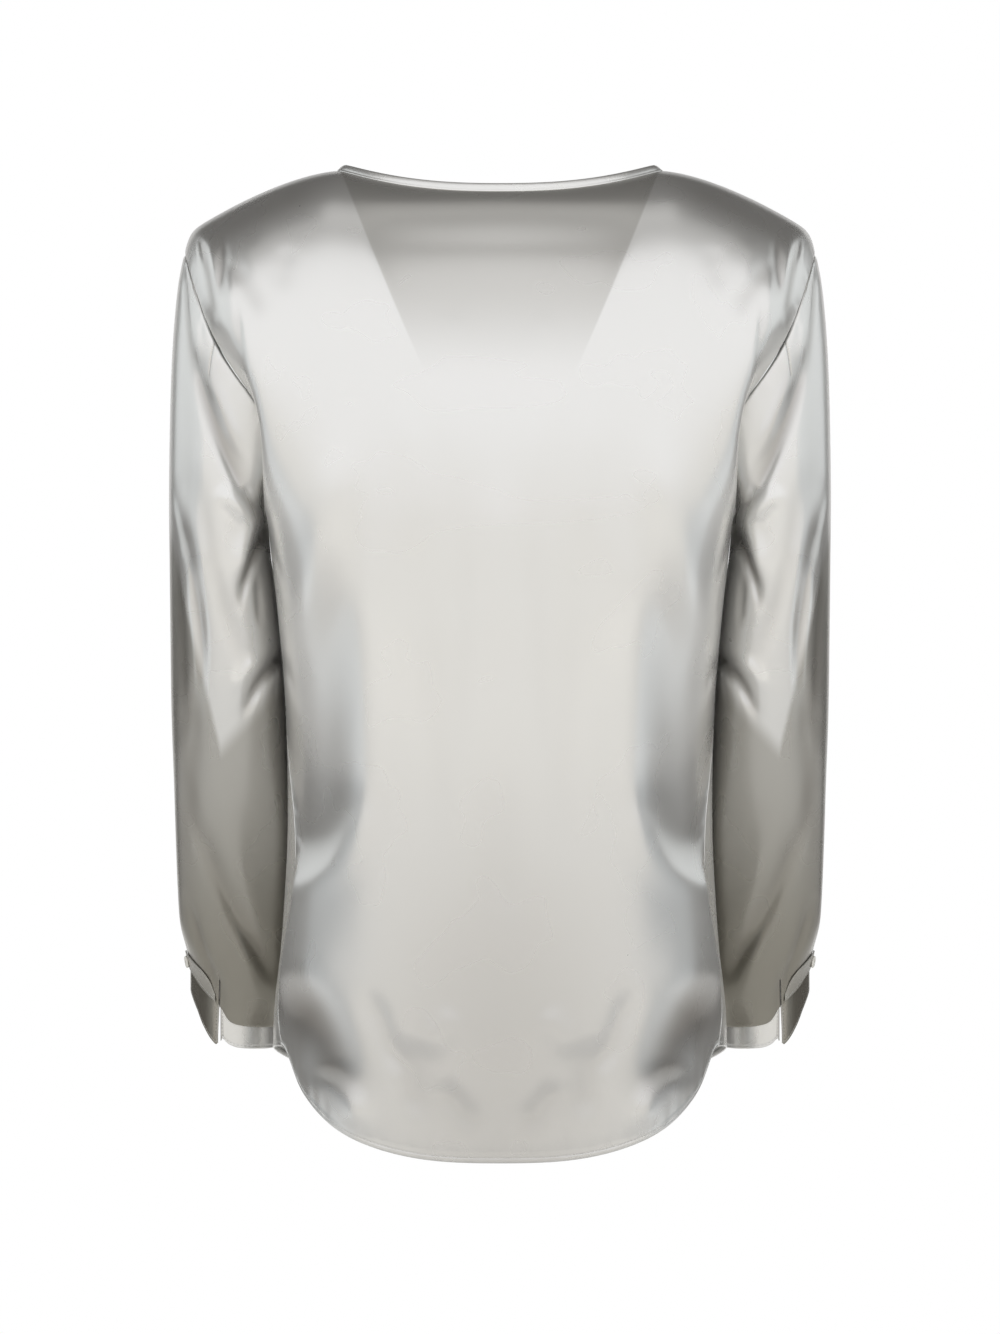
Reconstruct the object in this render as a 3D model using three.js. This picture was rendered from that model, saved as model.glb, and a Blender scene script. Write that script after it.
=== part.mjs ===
// A long-sleeved satin pullover blouse with a V neck, held in the rounded shape it has when worn.
// Every piece of cloth is a thin wall of its own, sewn edge to edge with a hairline seam gap.
// Units are millimetres and +Z is up. The front faces -Y and the wearer's left arm is at +X.
// The origin is midway between the two points where the neck edge meets the shoulder seams.
import * as THREE from "three";

// ---- driving dimensions ------------------------------------------------------------------------
const WALL = 1.2;
const SEAM_GAP = 0.3;
const COLUMN_SQUARENESS = 2.6;

const NECK = {
  halfWidth: 119,
  pointZ: -0.6,
  backCentreY: 50,
  backCentreZ: -19.2,
  backCurve: 2.4,
  frontCentreZ: -256,
  frontCurve: 1.2,
  column: 0.42,
};
const SHOULDER = { x: 233.5, z: -63, seamY: -4, slope: 47.4, slopeCurve: 1.54, endCurve: 40 };
const UNDERARM = { x: 171, z: -262 };
const ARMHOLE = { halfDepth: 66, roundness: 0.9, scoop: 24, scoopAt: 72, scoopWidth: 26 };
const VENT = { angle: 108, halfAngle: 1.5, topZ: -593 };
const BINDING = { width: 6, wall: 1.6, lift: 0.35, gap: 0.7 };
const FRONT_CHEST_RISE = 14;
const FRONT_YOKE_DIP = 70;
const HOLLOW = { depth: 4.5, reach: 22, fadeZ: -235, fullZ: -110 };
const BUTTON = { radius: 4.5, thickness: 1.8, rim: 0.5, angle: 163, belowTop: 7 };

// One row for each height of the body: half width, depth behind and in front of the widest line,
// how far behind that line the side seam runs, and how square the cross-section is (2 is an ellipse).
const BODY = [
  { z: -735, half: 166.0, back: 111, front: 113, seam: 44, square: 2.3 },
  { z: -680, half: 168.0, back: 114, front: 115, seam: 44, square: 2.3 },
  { z: -647, half: 168.2, back: 115, front: 115, seam: 42, square: 2.3 },
  { z: -627, half: 168.0, back: 115.5, front: 115, seam: 30, square: 2.3 },
  { z: -600, half: 165.0, back: 116, front: 114, seam: 26, square: 2.3 },
  { z: -572, half: 161.8, back: 116, front: 113, seam: 32, square: 2.3 },
  { z: -544, half: 160.0, back: 116, front: 111, seam: 43, square: 2.3 },
  { z: -500, half: 157.2, back: 116, front: 109, seam: 45, square: 2.3 },
  { z: -454, half: 156.6, back: 116, front: 108, seam: 37, square: 2.3 },
  { z: -403, half: 157.4, back: 116.5, front: 110, seam: 18, square: 2.6 },
  { z: -350, half: 160.6, back: 117, front: 115, seam: 9, square: 3.2 },
  { z: -313, half: 164.3, back: 117.5, front: 119.5, seam: 4, square: 3.9 },
  { z: -262, half: 171.0, back: 118, front: 122, seam: 0, square: 4.4 },
  { z: -211, half: 177.0, back: 115.5, front: 119.5, seam: 0, square: 4.4 },
];

// The curved shirt-tail: the lowest point of each panel, how far the edge climbs to the side, and
// the powers that share out the climb.
const HEM = {
  back: { centreZ: -730, climb: 83, terms: [[0.42, 3], [0.33, 14], [0.25, 80]] },
  front: { centreZ: -700, climb: 53, terms: [[1, 1.6]] },
};

// A soft fold down each side, behind the widest line, that hangs over the sleeve's inner edge.
const SIDE_FOLD = { angle: 74, width: 13, height: 2.5, startZ: -250, fullZ: -300, fadeZ: -440, endZ: -560 };

// One row for each height of the sleeve: its outer and inner edge, half depth and centre depth.
const SLEEVE = [
  { z: -650, outer: 235.0, inner: 156.0, half: 44, centre: -107 },
  { z: -608, outer: 237.0, inner: 155.5, half: 47, centre: -97 },
  { z: -574, outer: 238.5, inner: 155.2, half: 48, centre: -83 },
  { z: -536, outer: 240.3, inner: 154.8, half: 49, centre: -66 },
  { z: -489, outer: 241.5, inner: 154.5, half: 50.5, centre: -46 },
  { z: -451, outer: 242.2, inner: 155.5, half: 53, centre: -31 },
  { z: -403, outer: 243.5, inner: 158.0, half: 57, centre: -16 },
  { z: -350, outer: 244.0, inner: 161.8, half: 61, centre: -8 },
  { z: -313, outer: 244.3, inner: 165.6, half: 64, centre: -4 },
  { z: -290, outer: 244.5, inner: 169.0, half: 66, centre: -3 },
];
// The sleeve head: its outer edge below the shoulder point.
const SLEEVE_HEAD = [
  { z: -290, outer: 244.5 },
  { z: -244, outer: 245.0 },
  { z: -175, outer: 244.0 },
  { z: -134, outer: 242.5 },
  { z: -101, outer: 240.0 },
  { z: -76, outer: 237.0 },
  { z: -63, outer: 233.7 },
];
// The height at which the head's rings have become level and the arm of the sleeve begins.
const HEAD_END = -290;

// The cuff by angle round the wrist: 0 is next to the body, 90 behind, 180 outside, 270 in front.
const CUFF_FORM = { x: 198.5, y: -101, halfWidth: 33, halfDepth: 34, flare: 5, flareFrom: 165 };
const CUFF = [
  { angle: 0, top: -624, bottom: -652, sleeveEnd: -636 },
  { angle: 50, top: -624, bottom: -653, sleeveEnd: -637 },
  { angle: 85, top: -623, bottom: -652, sleeveEnd: -635 },
  { angle: 98, top: -620, bottom: -649, sleeveEnd: -631 },
  { angle: 106.5, top: -616, bottom: -645, sleeveEnd: -622 },
  { angle: 109.5, top: -616, bottom: -650, sleeveEnd: -620 },
  { angle: 130, top: -606, bottom: -636, sleeveEnd: -610 },
  { angle: 150, top: -595, bottom: -623, sleeveEnd: -599 },
  { angle: 180, top: -583, bottom: -610, sleeveEnd: -588 },
  { angle: 225, top: -589, bottom: -616, sleeveEnd: -595 },
  { angle: 270, top: -605, bottom: -632, sleeveEnd: -613 },
  { angle: 315, top: -618, bottom: -645, sleeveEnd: -629 },
  { angle: 360, top: -624, bottom: -652, sleeveEnd: -636 },
];

// The strip that overlaps the vent, by angle round the wrist: the height of its free edge.
const PLACKET = [
  { angle: 112, top: -613 },
  { angle: 119, top: -603 },
  { angle: 129, top: -595 },
  { angle: 141, top: -589 },
  { angle: 157, top: -583 },
  { angle: 170, top: -580 },
];
const PLACKET_LIFT = 1.6;
const PLACKET_STEPS = 8;

// Largest folds: each runs from one point to another in front view, is mirrored to the other half,
// and stands out (or sinks in, when height is negative) by its height.
const BACK_FOLDS = [
  { x0: 200, z0: -95, x1: 170, z1: -300, width: 13, height: 3 },
  { x0: 184, z0: -85, x1: 146, z1: -230, width: 12, height: -4 },
  { x0: 122, z0: -330, x1: 118, z1: -560, width: 26, height: -5 },
  { x0: 92, z0: -360, x1: 100, z1: -600, width: 16, height: 3 },
  { x0: 140, z0: -560, x1: 92, z1: -650, width: 20, height: 5 },
  { x0: 128, z0: -610, x1: 70, z1: -680, width: 22, height: -5 },
];
const FRONT_FOLDS = [
  { x0: 178, z0: -110, x1: 150, z1: -290, width: 14, height: 5 },
  { x0: 105, z0: -300, x1: 112, z1: -590, width: 24, height: -4 },
  { x0: 70, z0: -340, x1: 84, z1: -640, width: 22, height: 4 },
];
const SLEEVE_FOLDS = [
  { x0: 232, z0: -120, x1: 190, z1: -235, width: 10, height: -3.5 },
  { x0: 168, z0: -268, x1: 192, z1: -322, width: 9, height: -4 },
  { x0: 160, z0: -368, x1: 192, z1: -408, width: 10, height: -4 },
  { x0: 231, z0: -466, x1: 172, z1: -600, width: 11, height: -4 },
  { x0: 214, z0: -320, x1: 206, z1: -410, width: 16, height: 3 },
];

const HEM_ROWS = 10;
const HALF_ARMHOLE_STEPS = 10;
const NECK_STEPS = 6;
const SHOULDER_STEPS = 7;
const HEAD_STEPS = 6;
const ARM_STEPS = 13;
const ARM_CROWDING = 1.25;

// ---- small helpers -----------------------------------------------------------------------------
const clamp = THREE.MathUtils.clamp;
const lerp = THREE.MathUtils.lerp;
const radians = THREE.MathUtils.degToRad;
const point = (x, y, z) => new THREE.Vector3(x, y, z);
const range = (count) => Array.from({ length: count }, (unused, index) => index);

function ease(from, to, value) {
  return THREE.MathUtils.smoothstep(value, from, to);
}

// Smooth cubic through one column of a table, its rows ordered by the key column.
function along(table, key, column, at) {
  const value = clamp(at, table[0][key], table[table.length - 1][key]);
  let row = 0;
  while (row < table.length - 2 && value > table[row + 1][key]) {
    row += 1;
  }
  const slope = (a, b) => (table[b][column] - table[a][column]) / (table[b][key] - table[a][key]);
  const start = slope(Math.max(row - 1, 0), row + 1);
  const end = slope(row, Math.min(row + 2, table.length - 1));
  const span = table[row + 1][key] - table[row][key];
  const t = (value - table[row][key]) / span;
  const t2 = t * t;
  const t3 = t2 * t;
  return (2 * t3 - 3 * t2 + 1) * table[row][column] + (t3 - 2 * t2 + t) * span * start
    + (3 * t2 - 2 * t3) * table[row + 1][column] + (t3 - t2) * span * end;
}

// Sum of the folds at a place: a soft ridge round each fold's line, fading at both of its ends.
function foldHeight(folds, x, z) {
  let height = 0;
  for (const fold of folds) {
    const dx = fold.x1 - fold.x0;
    const dz = fold.z1 - fold.z0;
    const length = Math.hypot(dx, dz);
    const run = ((x - fold.x0) * dx + (z - fold.z0) * dz) / length;
    const off = ((x - fold.x0) * dz - (z - fold.z0) * dx) / length;
    const ends = ease(-0.1, 0.25, run / length) * (1 - ease(0.7, 1.1, run / length));
    height += fold.height * ends * Math.exp(-((off / fold.width) ** 2));
  }
  return height;
}

// ---- body panels -------------------------------------------------------------------------------
const ROUND = 2 / 2.3;

function sideFold(side, angle, z) {
  const fromBack = side === "back" ? angle : Math.PI - angle;
  const off = (THREE.MathUtils.radToDeg(fromBack) - SIDE_FOLD.angle) / SIDE_FOLD.width;
  const fade = (1 - ease(SIDE_FOLD.fullZ, SIDE_FOLD.startZ, z)) * ease(SIDE_FOLD.endZ, SIDE_FOLD.fadeZ, z);
  return SIDE_FOLD.height * Math.exp(-off * off) * fade;
}

// A place on the body's cross-section: angle 0 is the middle of the panel, 90 the widest line, and
// past 90 the section goes on round the other side.
function section(side, angle, z) {
  const row = (column) => along(BODY, "z", column, z);
  const toward = side === "back" ? 1 : -1;
  const past = angle > Math.PI / 2;
  const depth = row((side === "back") === past ? "front" : "back");
  const power = 2 / row("square");
  const reach = depth * Math.abs(Math.cos(angle)) ** power;
  const half = row("half") * Math.sin(angle) ** power;
  return { x: half + sideFold(side, angle, z), y: toward * (past ? -reach : reach) };
}

// The angle at which the side seam cuts the cross-section, seen from one panel's middle.
function seamAngle(side, z) {
  const ratio = along(BODY, "z", "seam", z) / along(BODY, "z", "back", z);
  const fromBack = Math.acos(Math.max(ratio, 0) ** (along(BODY, "z", "square", z) / 2));
  const hairline = SEAM_GAP / 2 / along(BODY, "z", "back", z) * 1.4;
  return (side === "back" ? fromBack : Math.PI - fromBack) - hairline;
}

function hemZ(side, u) {
  const hem = HEM[side];
  const reach = Math.sin(Math.abs(u) * Math.PI / 2) ** ROUND;
  const curve = hem.terms.reduce((sum, [share, power]) => sum + share * reach ** power, 0);
  return hem.centreZ + hem.climb * curve;
}

// A sine whose lobes are squarer as the power falls below 1.
function roundedSine(turn, power) {
  const sine = Math.sin(turn);
  return Math.abs(sine) < 1e-9 ? 0 : Math.sign(sine) * Math.abs(sine) ** power;
}

// How far up the armhole an angle lies, from 0 at the underarm to 1 at the shoulder point.
function armholeRise(angle) {
  return (1 - Math.cos(radians(angle))) / 2;
}

// The armhole edge: angle 0 is the underarm, 90 the back, 180 the shoulder point, 270 the front.
function armholePoint(angle) {
  const turn = radians(angle);
  const rise = armholeRise(angle);
  const folded = angle > 180 ? 360 - angle : angle;
  const hollow = ARMHOLE.scoop * Math.exp(-(((folded - ARMHOLE.scoopAt) / ARMHOLE.scoopWidth) ** 2));
  const bulge = roundedSine(turn, ARMHOLE.roundness);
  return point(
    lerp(UNDERARM.x, SHOULDER.x, rise) - hollow,
    SHOULDER.seamY * rise + ARMHOLE.halfDepth * bulge,
    lerp(UNDERARM.z, SHOULDER.z, rise),
  );
}

// The top edge of a panel at u: the neck edge up to NECK.column, then the shoulder seam.
function topEdge(side, u) {
  const part = Math.abs(u);
  if (part >= NECK.column) {
    const s = (part - NECK.column) / (1 - NECK.column);
    const drop = SHOULDER.slope * s ** SHOULDER.slopeCurve;
    const end = NECK.pointZ - SHOULDER.slope - SHOULDER.z;
    return { x: lerp(NECK.halfWidth, SHOULDER.x, s), z: NECK.pointZ - drop - end * s ** SHOULDER.endCurve };
  }
  const x = NECK.halfWidth * part / NECK.column;
  const r = x / NECK.halfWidth;
  if (side === "back") {
    return { x, z: lerp(NECK.backCentreZ, NECK.pointZ, r ** NECK.backCurve) };
  }
  return { x, z: lerp(NECK.frontCentreZ, NECK.pointZ, r ** NECK.frontCurve) };
}

// Height of the row where a panel's lower part ends: level, but dipping under the V neck.
function yokeZ(side, u) {
  const part = Math.min(Math.abs(u) / NECK.column, 1);
  return UNDERARM.z - (side === "front" ? FRONT_YOKE_DIP : 0) * (1 - part * part) ** 2;
}

// Lower part of a panel, v from 0 at the hem to 1 at the yoke row.
function lowerPoint(side, u, v) {
  const z = lerp(hemZ(side, u), yokeZ(side, u), v);
  const at = section(side, Math.abs(u) * seamAngle(side, z), z);
  return point(Math.sign(u) * at.x, at.y, z);
}

// Upper part, t from 0 at the yoke row to 1 at the neck edge or shoulder seam. Each column rounds
// over towards the shoulder line as a part of a squared ellipse.
function upperColumn(side, u, t) {
  const toward = side === "back" ? 1 : -1;
  const foot = lowerPoint(side, Math.abs(u), 1);
  const top = topEdge(side, u);
  const ridgeY = SHOULDER.seamY + toward * SEAM_GAP / 2;
  const inNeck = Math.max(0, 1 - (top.x / NECK.halfWidth) ** 2);
  const bow = (part) => (1 - part ** COLUMN_SQUARENESS) ** (1 / COLUMN_SQUARENESS);
  let reach = 1;
  if (side === "back" && inNeck > 0) {
    reach = bow((NECK.backCentreY - ridgeY) * Math.sqrt(inNeck) / (foot.y - ridgeY));
  }
  if (side === "front" && inNeck > 0) {
    const ridgeZ = NECK.pointZ + FRONT_CHEST_RISE * inNeck ** 2;
    reach = (top.z - foot.z) / (ridgeZ - foot.z);
  }
  const rise = armholeRise(180 * t);
  const y = ridgeY + (foot.y - ridgeY) * bow(Math.min(rise * reach, 1));
  return point(lerp(foot.x, top.x, rise), y, lerp(foot.z, top.z, rise));
}

function upperPoint(side, u, t) {
  const toward = side === "back" ? 1 : -1;
  const body = upperColumn(side, u, t);
  const edge = armholePoint(side === "back" ? 180 * t : 360 - 180 * t);
  edge.y += toward * SEAM_GAP / 2;
  const offset = edge.sub(upperColumn(side, 1, t));
  body.x += offset.x * Math.abs(u) ** 10;
  body.y += offset.y * Math.abs(u) ** 3;
  body.x *= Math.sign(u);
  return body;
}

// The back sinks a little between two soft lines that run down from the neck points.
function neckHollow(x, z) {
  const climb = clamp((z - NECK.frontCentreZ) / (NECK.pointZ - NECK.frontCentreZ), 0, 1);
  const line = NECK.halfWidth * climb ** (1 / NECK.frontCurve);
  const inside = 1 - Math.exp(-Math.max(0, line - Math.abs(x)) / HOLLOW.reach);
  return -HOLLOW.depth * inside * ease(HOLLOW.fadeZ, HOLLOW.fullZ, z) * (1 - ease(-60, -20, z));
}

function columnsOfPanel() {
  const neck = range(NECK_STEPS).map((index) => NECK.column * index / NECK_STEPS);
  const shoulder = range(SHOULDER_STEPS + 1).map(
    (index) => lerp(NECK.column, 1, index / SHOULDER_STEPS),
  );
  const half = [...neck, ...shoulder];
  return [...half.slice(1).reverse().map((u) => -u), ...half];
}

// Steps up the armhole, with the vent's two edges among them on the back.
function armholeSteps(side) {
  const steps = range(HALF_ARMHOLE_STEPS + 1).map((index) => index / HALF_ARMHOLE_STEPS);
  if (side === "front") {
    return steps;
  }
  const vent = [VENT.angle - VENT.halfAngle, VENT.angle + VENT.halfAngle].map((angle) => angle / 180);
  return [...steps.filter((step) => Math.abs(step - VENT.angle / 180) > 0.02), ...vent].sort((a, b) => a - b);
}

function panelGrid(side) {
  const columns = columnsOfPanel();
  const folds = side === "back" ? BACK_FOLDS : FRONT_FOLDS;
  const lower = range(HEM_ROWS).map((index) => columns.map((u) => lowerPoint(side, u, index / HEM_ROWS)));
  const upper = armholeSteps(side).map((t) => columns.map((u) => upperPoint(side, u, t)));
  const grid = [...lower, ...upper];
  const outward = gridNormals(grid, false, side === "front");
  grid.forEach((row, i) => row.forEach((place, j) => {
    const inside = 1 - Math.abs(columns[j]) ** 10;
    const lift = foldHeight(folds, Math.abs(place.x), place.z)
      + (side === "back" ? neckHollow(place.x, place.z) : 0);
    place.addScaledVector(outward[i][j], i === grid.length - 1 ? 0 : lift * inside);
  }));
  return grid;
}

// ---- sleeve and cuff ---------------------------------------------------------------------------
function cuffRow(angle, column) {
  return along(CUFF, "angle", column, angle);
}

// A place on the cuff's outer face, moved out by a distance, with the free end flaring outward.
function cuffPoint(angle, z, out) {
  const turn = radians(angle);
  const overlap = angle >= VENT.angle ? 1 - ease(VENT.angle, CUFF_FORM.flareFrom, angle) : 0;
  const hang = 1 - ease(-650, -600, z);
  const lift = out + CUFF_FORM.flare * (angle > 180 ? 0 : overlap) * hang;
  return point(
    CUFF_FORM.x - (CUFF_FORM.halfWidth + lift) * Math.cos(turn),
    CUFF_FORM.y + (CUFF_FORM.halfDepth + lift) * Math.sin(turn),
    z,
  );
}

// Sleeve head: rings that fan round the underarm from the armhole to a level ring.
function headPoint(angle, part) {
  const turn = radians(angle);
  const rise = armholeRise(angle);
  const outerZ = lerp(SHOULDER.z, HEAD_END, part);
  const innerZ = lerp(UNDERARM.z, HEAD_END, part);
  const outerX = along(SLEEVE_HEAD, "z", "outer", outerZ);
  const innerX = lerp(UNDERARM.x + 0.6, along(SLEEVE, "z", "inner", innerZ), part);
  const round = lerp(ARMHOLE.roundness, ROUND, part);
  const half = lerp(ARMHOLE.halfDepth, along(SLEEVE, "z", "half", innerZ), part);
  const bulge = roundedSine(turn, round);
  const seam = armholePoint(angle);
  const flat = lerp(UNDERARM.x, SHOULDER.x, rise);
  return point(
    lerp(innerX, outerX, rise) + (seam.x - flat) * (1 - part) ** 2,
    lerp(SHOULDER.seamY * rise, along(SLEEVE, "z", "centre", innerZ), part) + half * bulge,
    lerp(innerZ, outerZ, rise),
  );
}

// Arm of the sleeve: part runs from 0 at the level ring to 1 at the edge that falls over the cuff.
function armPoint(angle, part) {
  const turn = radians(angle);
  const z = lerp(HEAD_END, cuffRow(angle, "sleeveEnd"), part);
  const row = (column) => along(SLEEVE, "z", column, z);
  const bulge = roundedSine(turn, ROUND);
  const middle = (row("outer") + row("inner")) / 2;
  const place = point(
    middle - (row("outer") - row("inner")) / 2 * Math.cos(turn),
    row("centre") + row("half") * bulge,
    z,
  );
  const overCuff = cuffPoint(angle, z, WALL + SEAM_GAP);
  return place.lerp(overCuff, ease(0.9, 1, part));
}

function sleeveAngles() {
  const back = armholeSteps("back").map((step) => 180 * step);
  const front = armholeSteps("front").map((step) => 180 + 180 * step);
  return [...back, ...front.slice(1, -1)];
}

function sleeveGrid() {
  const angles = sleeveAngles();
  const seamShift = point(SHOULDER.z - UNDERARM.z, 0, UNDERARM.x - SHOULDER.x).normalize();
  const seam = angles.map((angle) => armholePoint(angle).addScaledVector(seamShift, SEAM_GAP));
  const heads = range(HEAD_STEPS).map((index) => (index + 1) / HEAD_STEPS);
  const head = heads.map((part) => angles.map((angle) => headPoint(angle, part)));
  const parts = range(ARM_STEPS).map((index) => 1 - (1 - (index + 1) / ARM_STEPS) ** ARM_CROWDING);
  const arm = parts.map((part) => angles.map((angle) => armPoint(angle, part)));
  const grid = [seam, ...head, ...arm];
  const outward = gridNormals(grid, true, true);
  grid.forEach((row, i) => row.forEach((place, j) => {
    const rows = grid.length - 1;
    const fade = ease(0, 3, i) * (1 - ease(rows - 3, rows - 1, i));
    place.addScaledVector(outward[i][j], foldHeight(SLEEVE_FOLDS, place.x, place.z) * fade);
  }));
  return grid;
}

// ---- cloth walls -------------------------------------------------------------------------------
// Outward directions of a grid of points. Rows run up (or down) the piece and columns across it.
function gridNormals(grid, closed, flipped) {
  const rows = grid.length;
  const columns = grid[0].length;
  return grid.map((row, i) => row.map((place, j) => {
    const before = closed ? row[(j + columns - 1) % columns] : row[Math.max(j - 1, 0)];
    const after = closed ? row[(j + 1) % columns] : row[Math.min(j + 1, columns - 1)];
    const under = grid[Math.max(i - 1, 0)][j];
    const over = grid[Math.min(i + 1, rows - 1)][j];
    const normal = after.clone().sub(before).cross(over.clone().sub(under)).normalize();
    return flipped ? normal : normal.negate();
  }));
}

// Two edges sewn together share the direction of their wall, so that the walls meet on a mitre.
function mitre(first, second) {
  if (first.dot(second) > 0.2) {
    first.add(second).normalize();
    second.copy(first);
  }
}

// Closed solid of a cloth grid: its outer points, the same points one wall further in, and a
// narrow face along every free edge. Cells for which absent() is true are left open.
function clothSolid(grid, normals, options = {}) {
  const { closed = false, flipped = false, wall = WALL, absent = () => false } = options;
  const rows = grid.length;
  const columns = grid[0].length;
  const cells = closed ? columns : columns - 1;
  const places = [];
  grid.forEach((row) => row.forEach((place) => places.push(place)));
  grid.forEach((row, i) => row.forEach((place, j) => {
    places.push(place.clone().addScaledVector(normals[i][j], -wall));
  }));
  const outer = (i, j) => i * columns + (j % columns);
  const inner = (i, j) => rows * columns + outer(i, j);
  const present = (i, j) => {
    if (i < 0 || i >= rows - 1) {
      return false;
    }
    if (!closed && (j < 0 || j >= cells)) {
      return false;
    }
    return !absent(i, (j + cells) % cells);
  };
  const faces = [];
  const quad = (a, b, c, d) => (flipped ? faces.push(a, c, b, a, d, c) : faces.push(a, b, c, a, c, d));
  const span = (a, b) => places[a].distanceTo(places[b]);
  for (let i = 0; i < rows - 1; i += 1) {
    for (let j = 0; j < cells; j += 1) {
      if (!present(i, j)) {
        continue;
      }
      if (span(outer(i, j), outer(i + 1, j + 1)) < span(outer(i + 1, j), outer(i, j + 1))) {
        quad(outer(i, j), outer(i + 1, j), outer(i + 1, j + 1), outer(i, j + 1));
        quad(inner(i, j), inner(i, j + 1), inner(i + 1, j + 1), inner(i + 1, j));
      } else {
        quad(outer(i + 1, j), outer(i + 1, j + 1), outer(i, j + 1), outer(i, j));
        quad(inner(i + 1, j), inner(i, j), inner(i, j + 1), inner(i + 1, j + 1));
      }
      if (!present(i - 1, j)) {
        quad(outer(i, j), outer(i, j + 1), inner(i, j + 1), inner(i, j));
      }
      if (!present(i + 1, j)) {
        quad(outer(i + 1, j + 1), outer(i + 1, j), inner(i + 1, j), inner(i + 1, j + 1));
      }
      if (!present(i, j - 1)) {
        quad(outer(i + 1, j), outer(i, j), inner(i, j), inner(i + 1, j));
      }
      if (!present(i, j + 1)) {
        quad(outer(i, j + 1), outer(i + 1, j + 1), inner(i + 1, j + 1), inner(i, j + 1));
      }
    }
  }
  return solidFrom(places, faces);
}

// Geometry of the points and faces, with points that no face uses left out.
function solidFrom(places, faces) {
  const renumber = new Map();
  const kept = [];
  const index = faces.map((corner) => {
    if (!renumber.has(corner)) {
      renumber.set(corner, renumber.size);
      kept.push(places[corner].x, places[corner].y, places[corner].z);
    }
    return renumber.get(corner);
  });
  const geometry = new THREE.BufferGeometry();
  geometry.setAttribute("position", new THREE.Float32BufferAttribute(kept, 3));
  geometry.setIndex(index);
  geometry.computeVertexNormals();
  return geometry;
}

// The same piece for the other side of the body.
function mirrored(geometry) {
  const twin = geometry.clone();
  twin.scale(-1, 1, 1);
  const index = twin.getIndex();
  for (let face = 0; face < index.count; face += 3) {
    const corner = index.getX(face + 1);
    index.setX(face + 1, index.getX(face + 2));
    index.setX(face + 2, corner);
  }
  twin.computeVertexNormals();
  return twin;
}

// ---- the pieces --------------------------------------------------------------------------------
const back = panelGrid("back");
const front = panelGrid("front");
const sleeve = sleeveGrid();
const backNormals = gridNormals(back, false, false);
const frontNormals = gridNormals(front, false, true);
const sleeveNormals = gridNormals(sleeve, true, true);
const lastColumn = back[0].length - 1;
const topBack = back.length - 1;
const topFront = front.length - 1;

// Shares wall directions along the side seams, shoulder seams and armholes of the left half.
function sewEdges() {
  range(HEM_ROWS).forEach((row) => mitre(backNormals[row][lastColumn], frontNormals[row][lastColumn]));
  columnsOfPanel().forEach((u, column) => {
    if (u >= NECK.column && u < 1) {
      mitre(backNormals[topBack][column], frontNormals[topFront][column]);
    }
  });
  range(topBack - HEM_ROWS + 1).forEach((step) => {
    mitre(backNormals[HEM_ROWS + step][lastColumn], sleeveNormals[0][step]);
  });
  range(topFront - HEM_ROWS).forEach((step) => {
    const column = sleeve[0].length - step;
    mitre(frontNormals[HEM_ROWS + step][lastColumn], sleeveNormals[0][column % sleeve[0].length]);
  });
  frontNormals[topFront][lastColumn].copy(backNormals[topBack][lastColumn]);
  for (const normals of [backNormals, frontNormals]) {
    normals.forEach((row) => row.forEach((normal, column) => {
      if (column > lastColumn / 2) {
        row[lastColumn - column].set(-normal.x, normal.y, normal.z);
      }
    }));
  }
}

// The neck edge as one loop: across the back, then down and up the V of the front.
function neckLoop() {
  const inNeck = (u) => Math.abs(u) <= NECK.column + 1e-9;
  const columns = columnsOfPanel();
  const across = columns.map((u, column) => ({ u, column })).filter(({ u }) => inNeck(u));
  const overBack = [...across].reverse().map(({ column }) => ({
    place: back[topBack][column],
    normal: backNormals[topBack][column],
  }));
  const overFront = across.slice(1, -1).map(({ column }) => ({
    place: front[topFront][column],
    normal: frontNormals[topFront][column],
  }));
  return [...overBack, ...overFront];
}

function bindingSolid() {
  const loop = neckLoop();
  const strip = loop.map(({ place, normal }, index) => {
    const before = place.clone().sub(loop[(index + loop.length - 1) % loop.length].place).normalize();
    const after = loop[(index + 1) % loop.length].place.clone().sub(place).normalize();
    const tangent = before.add(after).multiplyScalar(0.5);
    const stretch = 1 / tangent.length();
    tangent.normalize();
    const face = normal.clone().addScaledVector(tangent, -normal.dot(tangent)).normalize();
    const inward = face.clone().cross(tangent);
    const near = place.clone().addScaledVector(face, (BINDING.wall - WALL) / 2);
    near.addScaledVector(inward, BINDING.gap * stretch);
    inward.z += BINDING.lift * (1 - Math.abs(inward.z)) * ease(-20, 0, place.y);
    inward.normalize();
    return { face, near, far: near.clone().addScaledVector(inward, BINDING.width * stretch) };
  });
  const grid = [strip.map(({ near }) => near), strip.map(({ far }) => far)];
  const normals = [strip.map(({ face }) => face), strip.map(({ face }) => face)];
  return clothSolid(grid, normals, { closed: true, flipped: true, wall: BINDING.wall });
}

// The vent is one narrow column of the sleeve left open above the cuff.
function sleeveSolid() {
  const angles = sleeveAngles();
  const ventColumn = angles.findIndex((angle) => Math.abs(angle - VENT.angle + VENT.halfAngle) < 1e-6);
  const absent = (i, j) => j === ventColumn && sleeve[i][j].z < VENT.topZ;
  return clothSolid(sleeve, sleeveNormals, { closed: true, flipped: true, absent });
}

function cuffSolid() {
  const angles = sleeveAngles();
  const start = angles.findIndex((angle) => angle > VENT.angle);
  const around = [...angles.slice(start), ...angles.slice(0, start)];
  const grid = ["top", "sleeveEnd", "bottom"].map(
    (edge) => around.map((angle) => cuffPoint(angle, cuffRow(angle, edge), 0)),
  );
  return clothSolid(grid, gridNormals(grid, false, true), { flipped: true });
}

function outFromWrist(angle) {
  return point(-Math.cos(radians(angle)), Math.sin(radians(angle)), 0);
}

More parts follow.
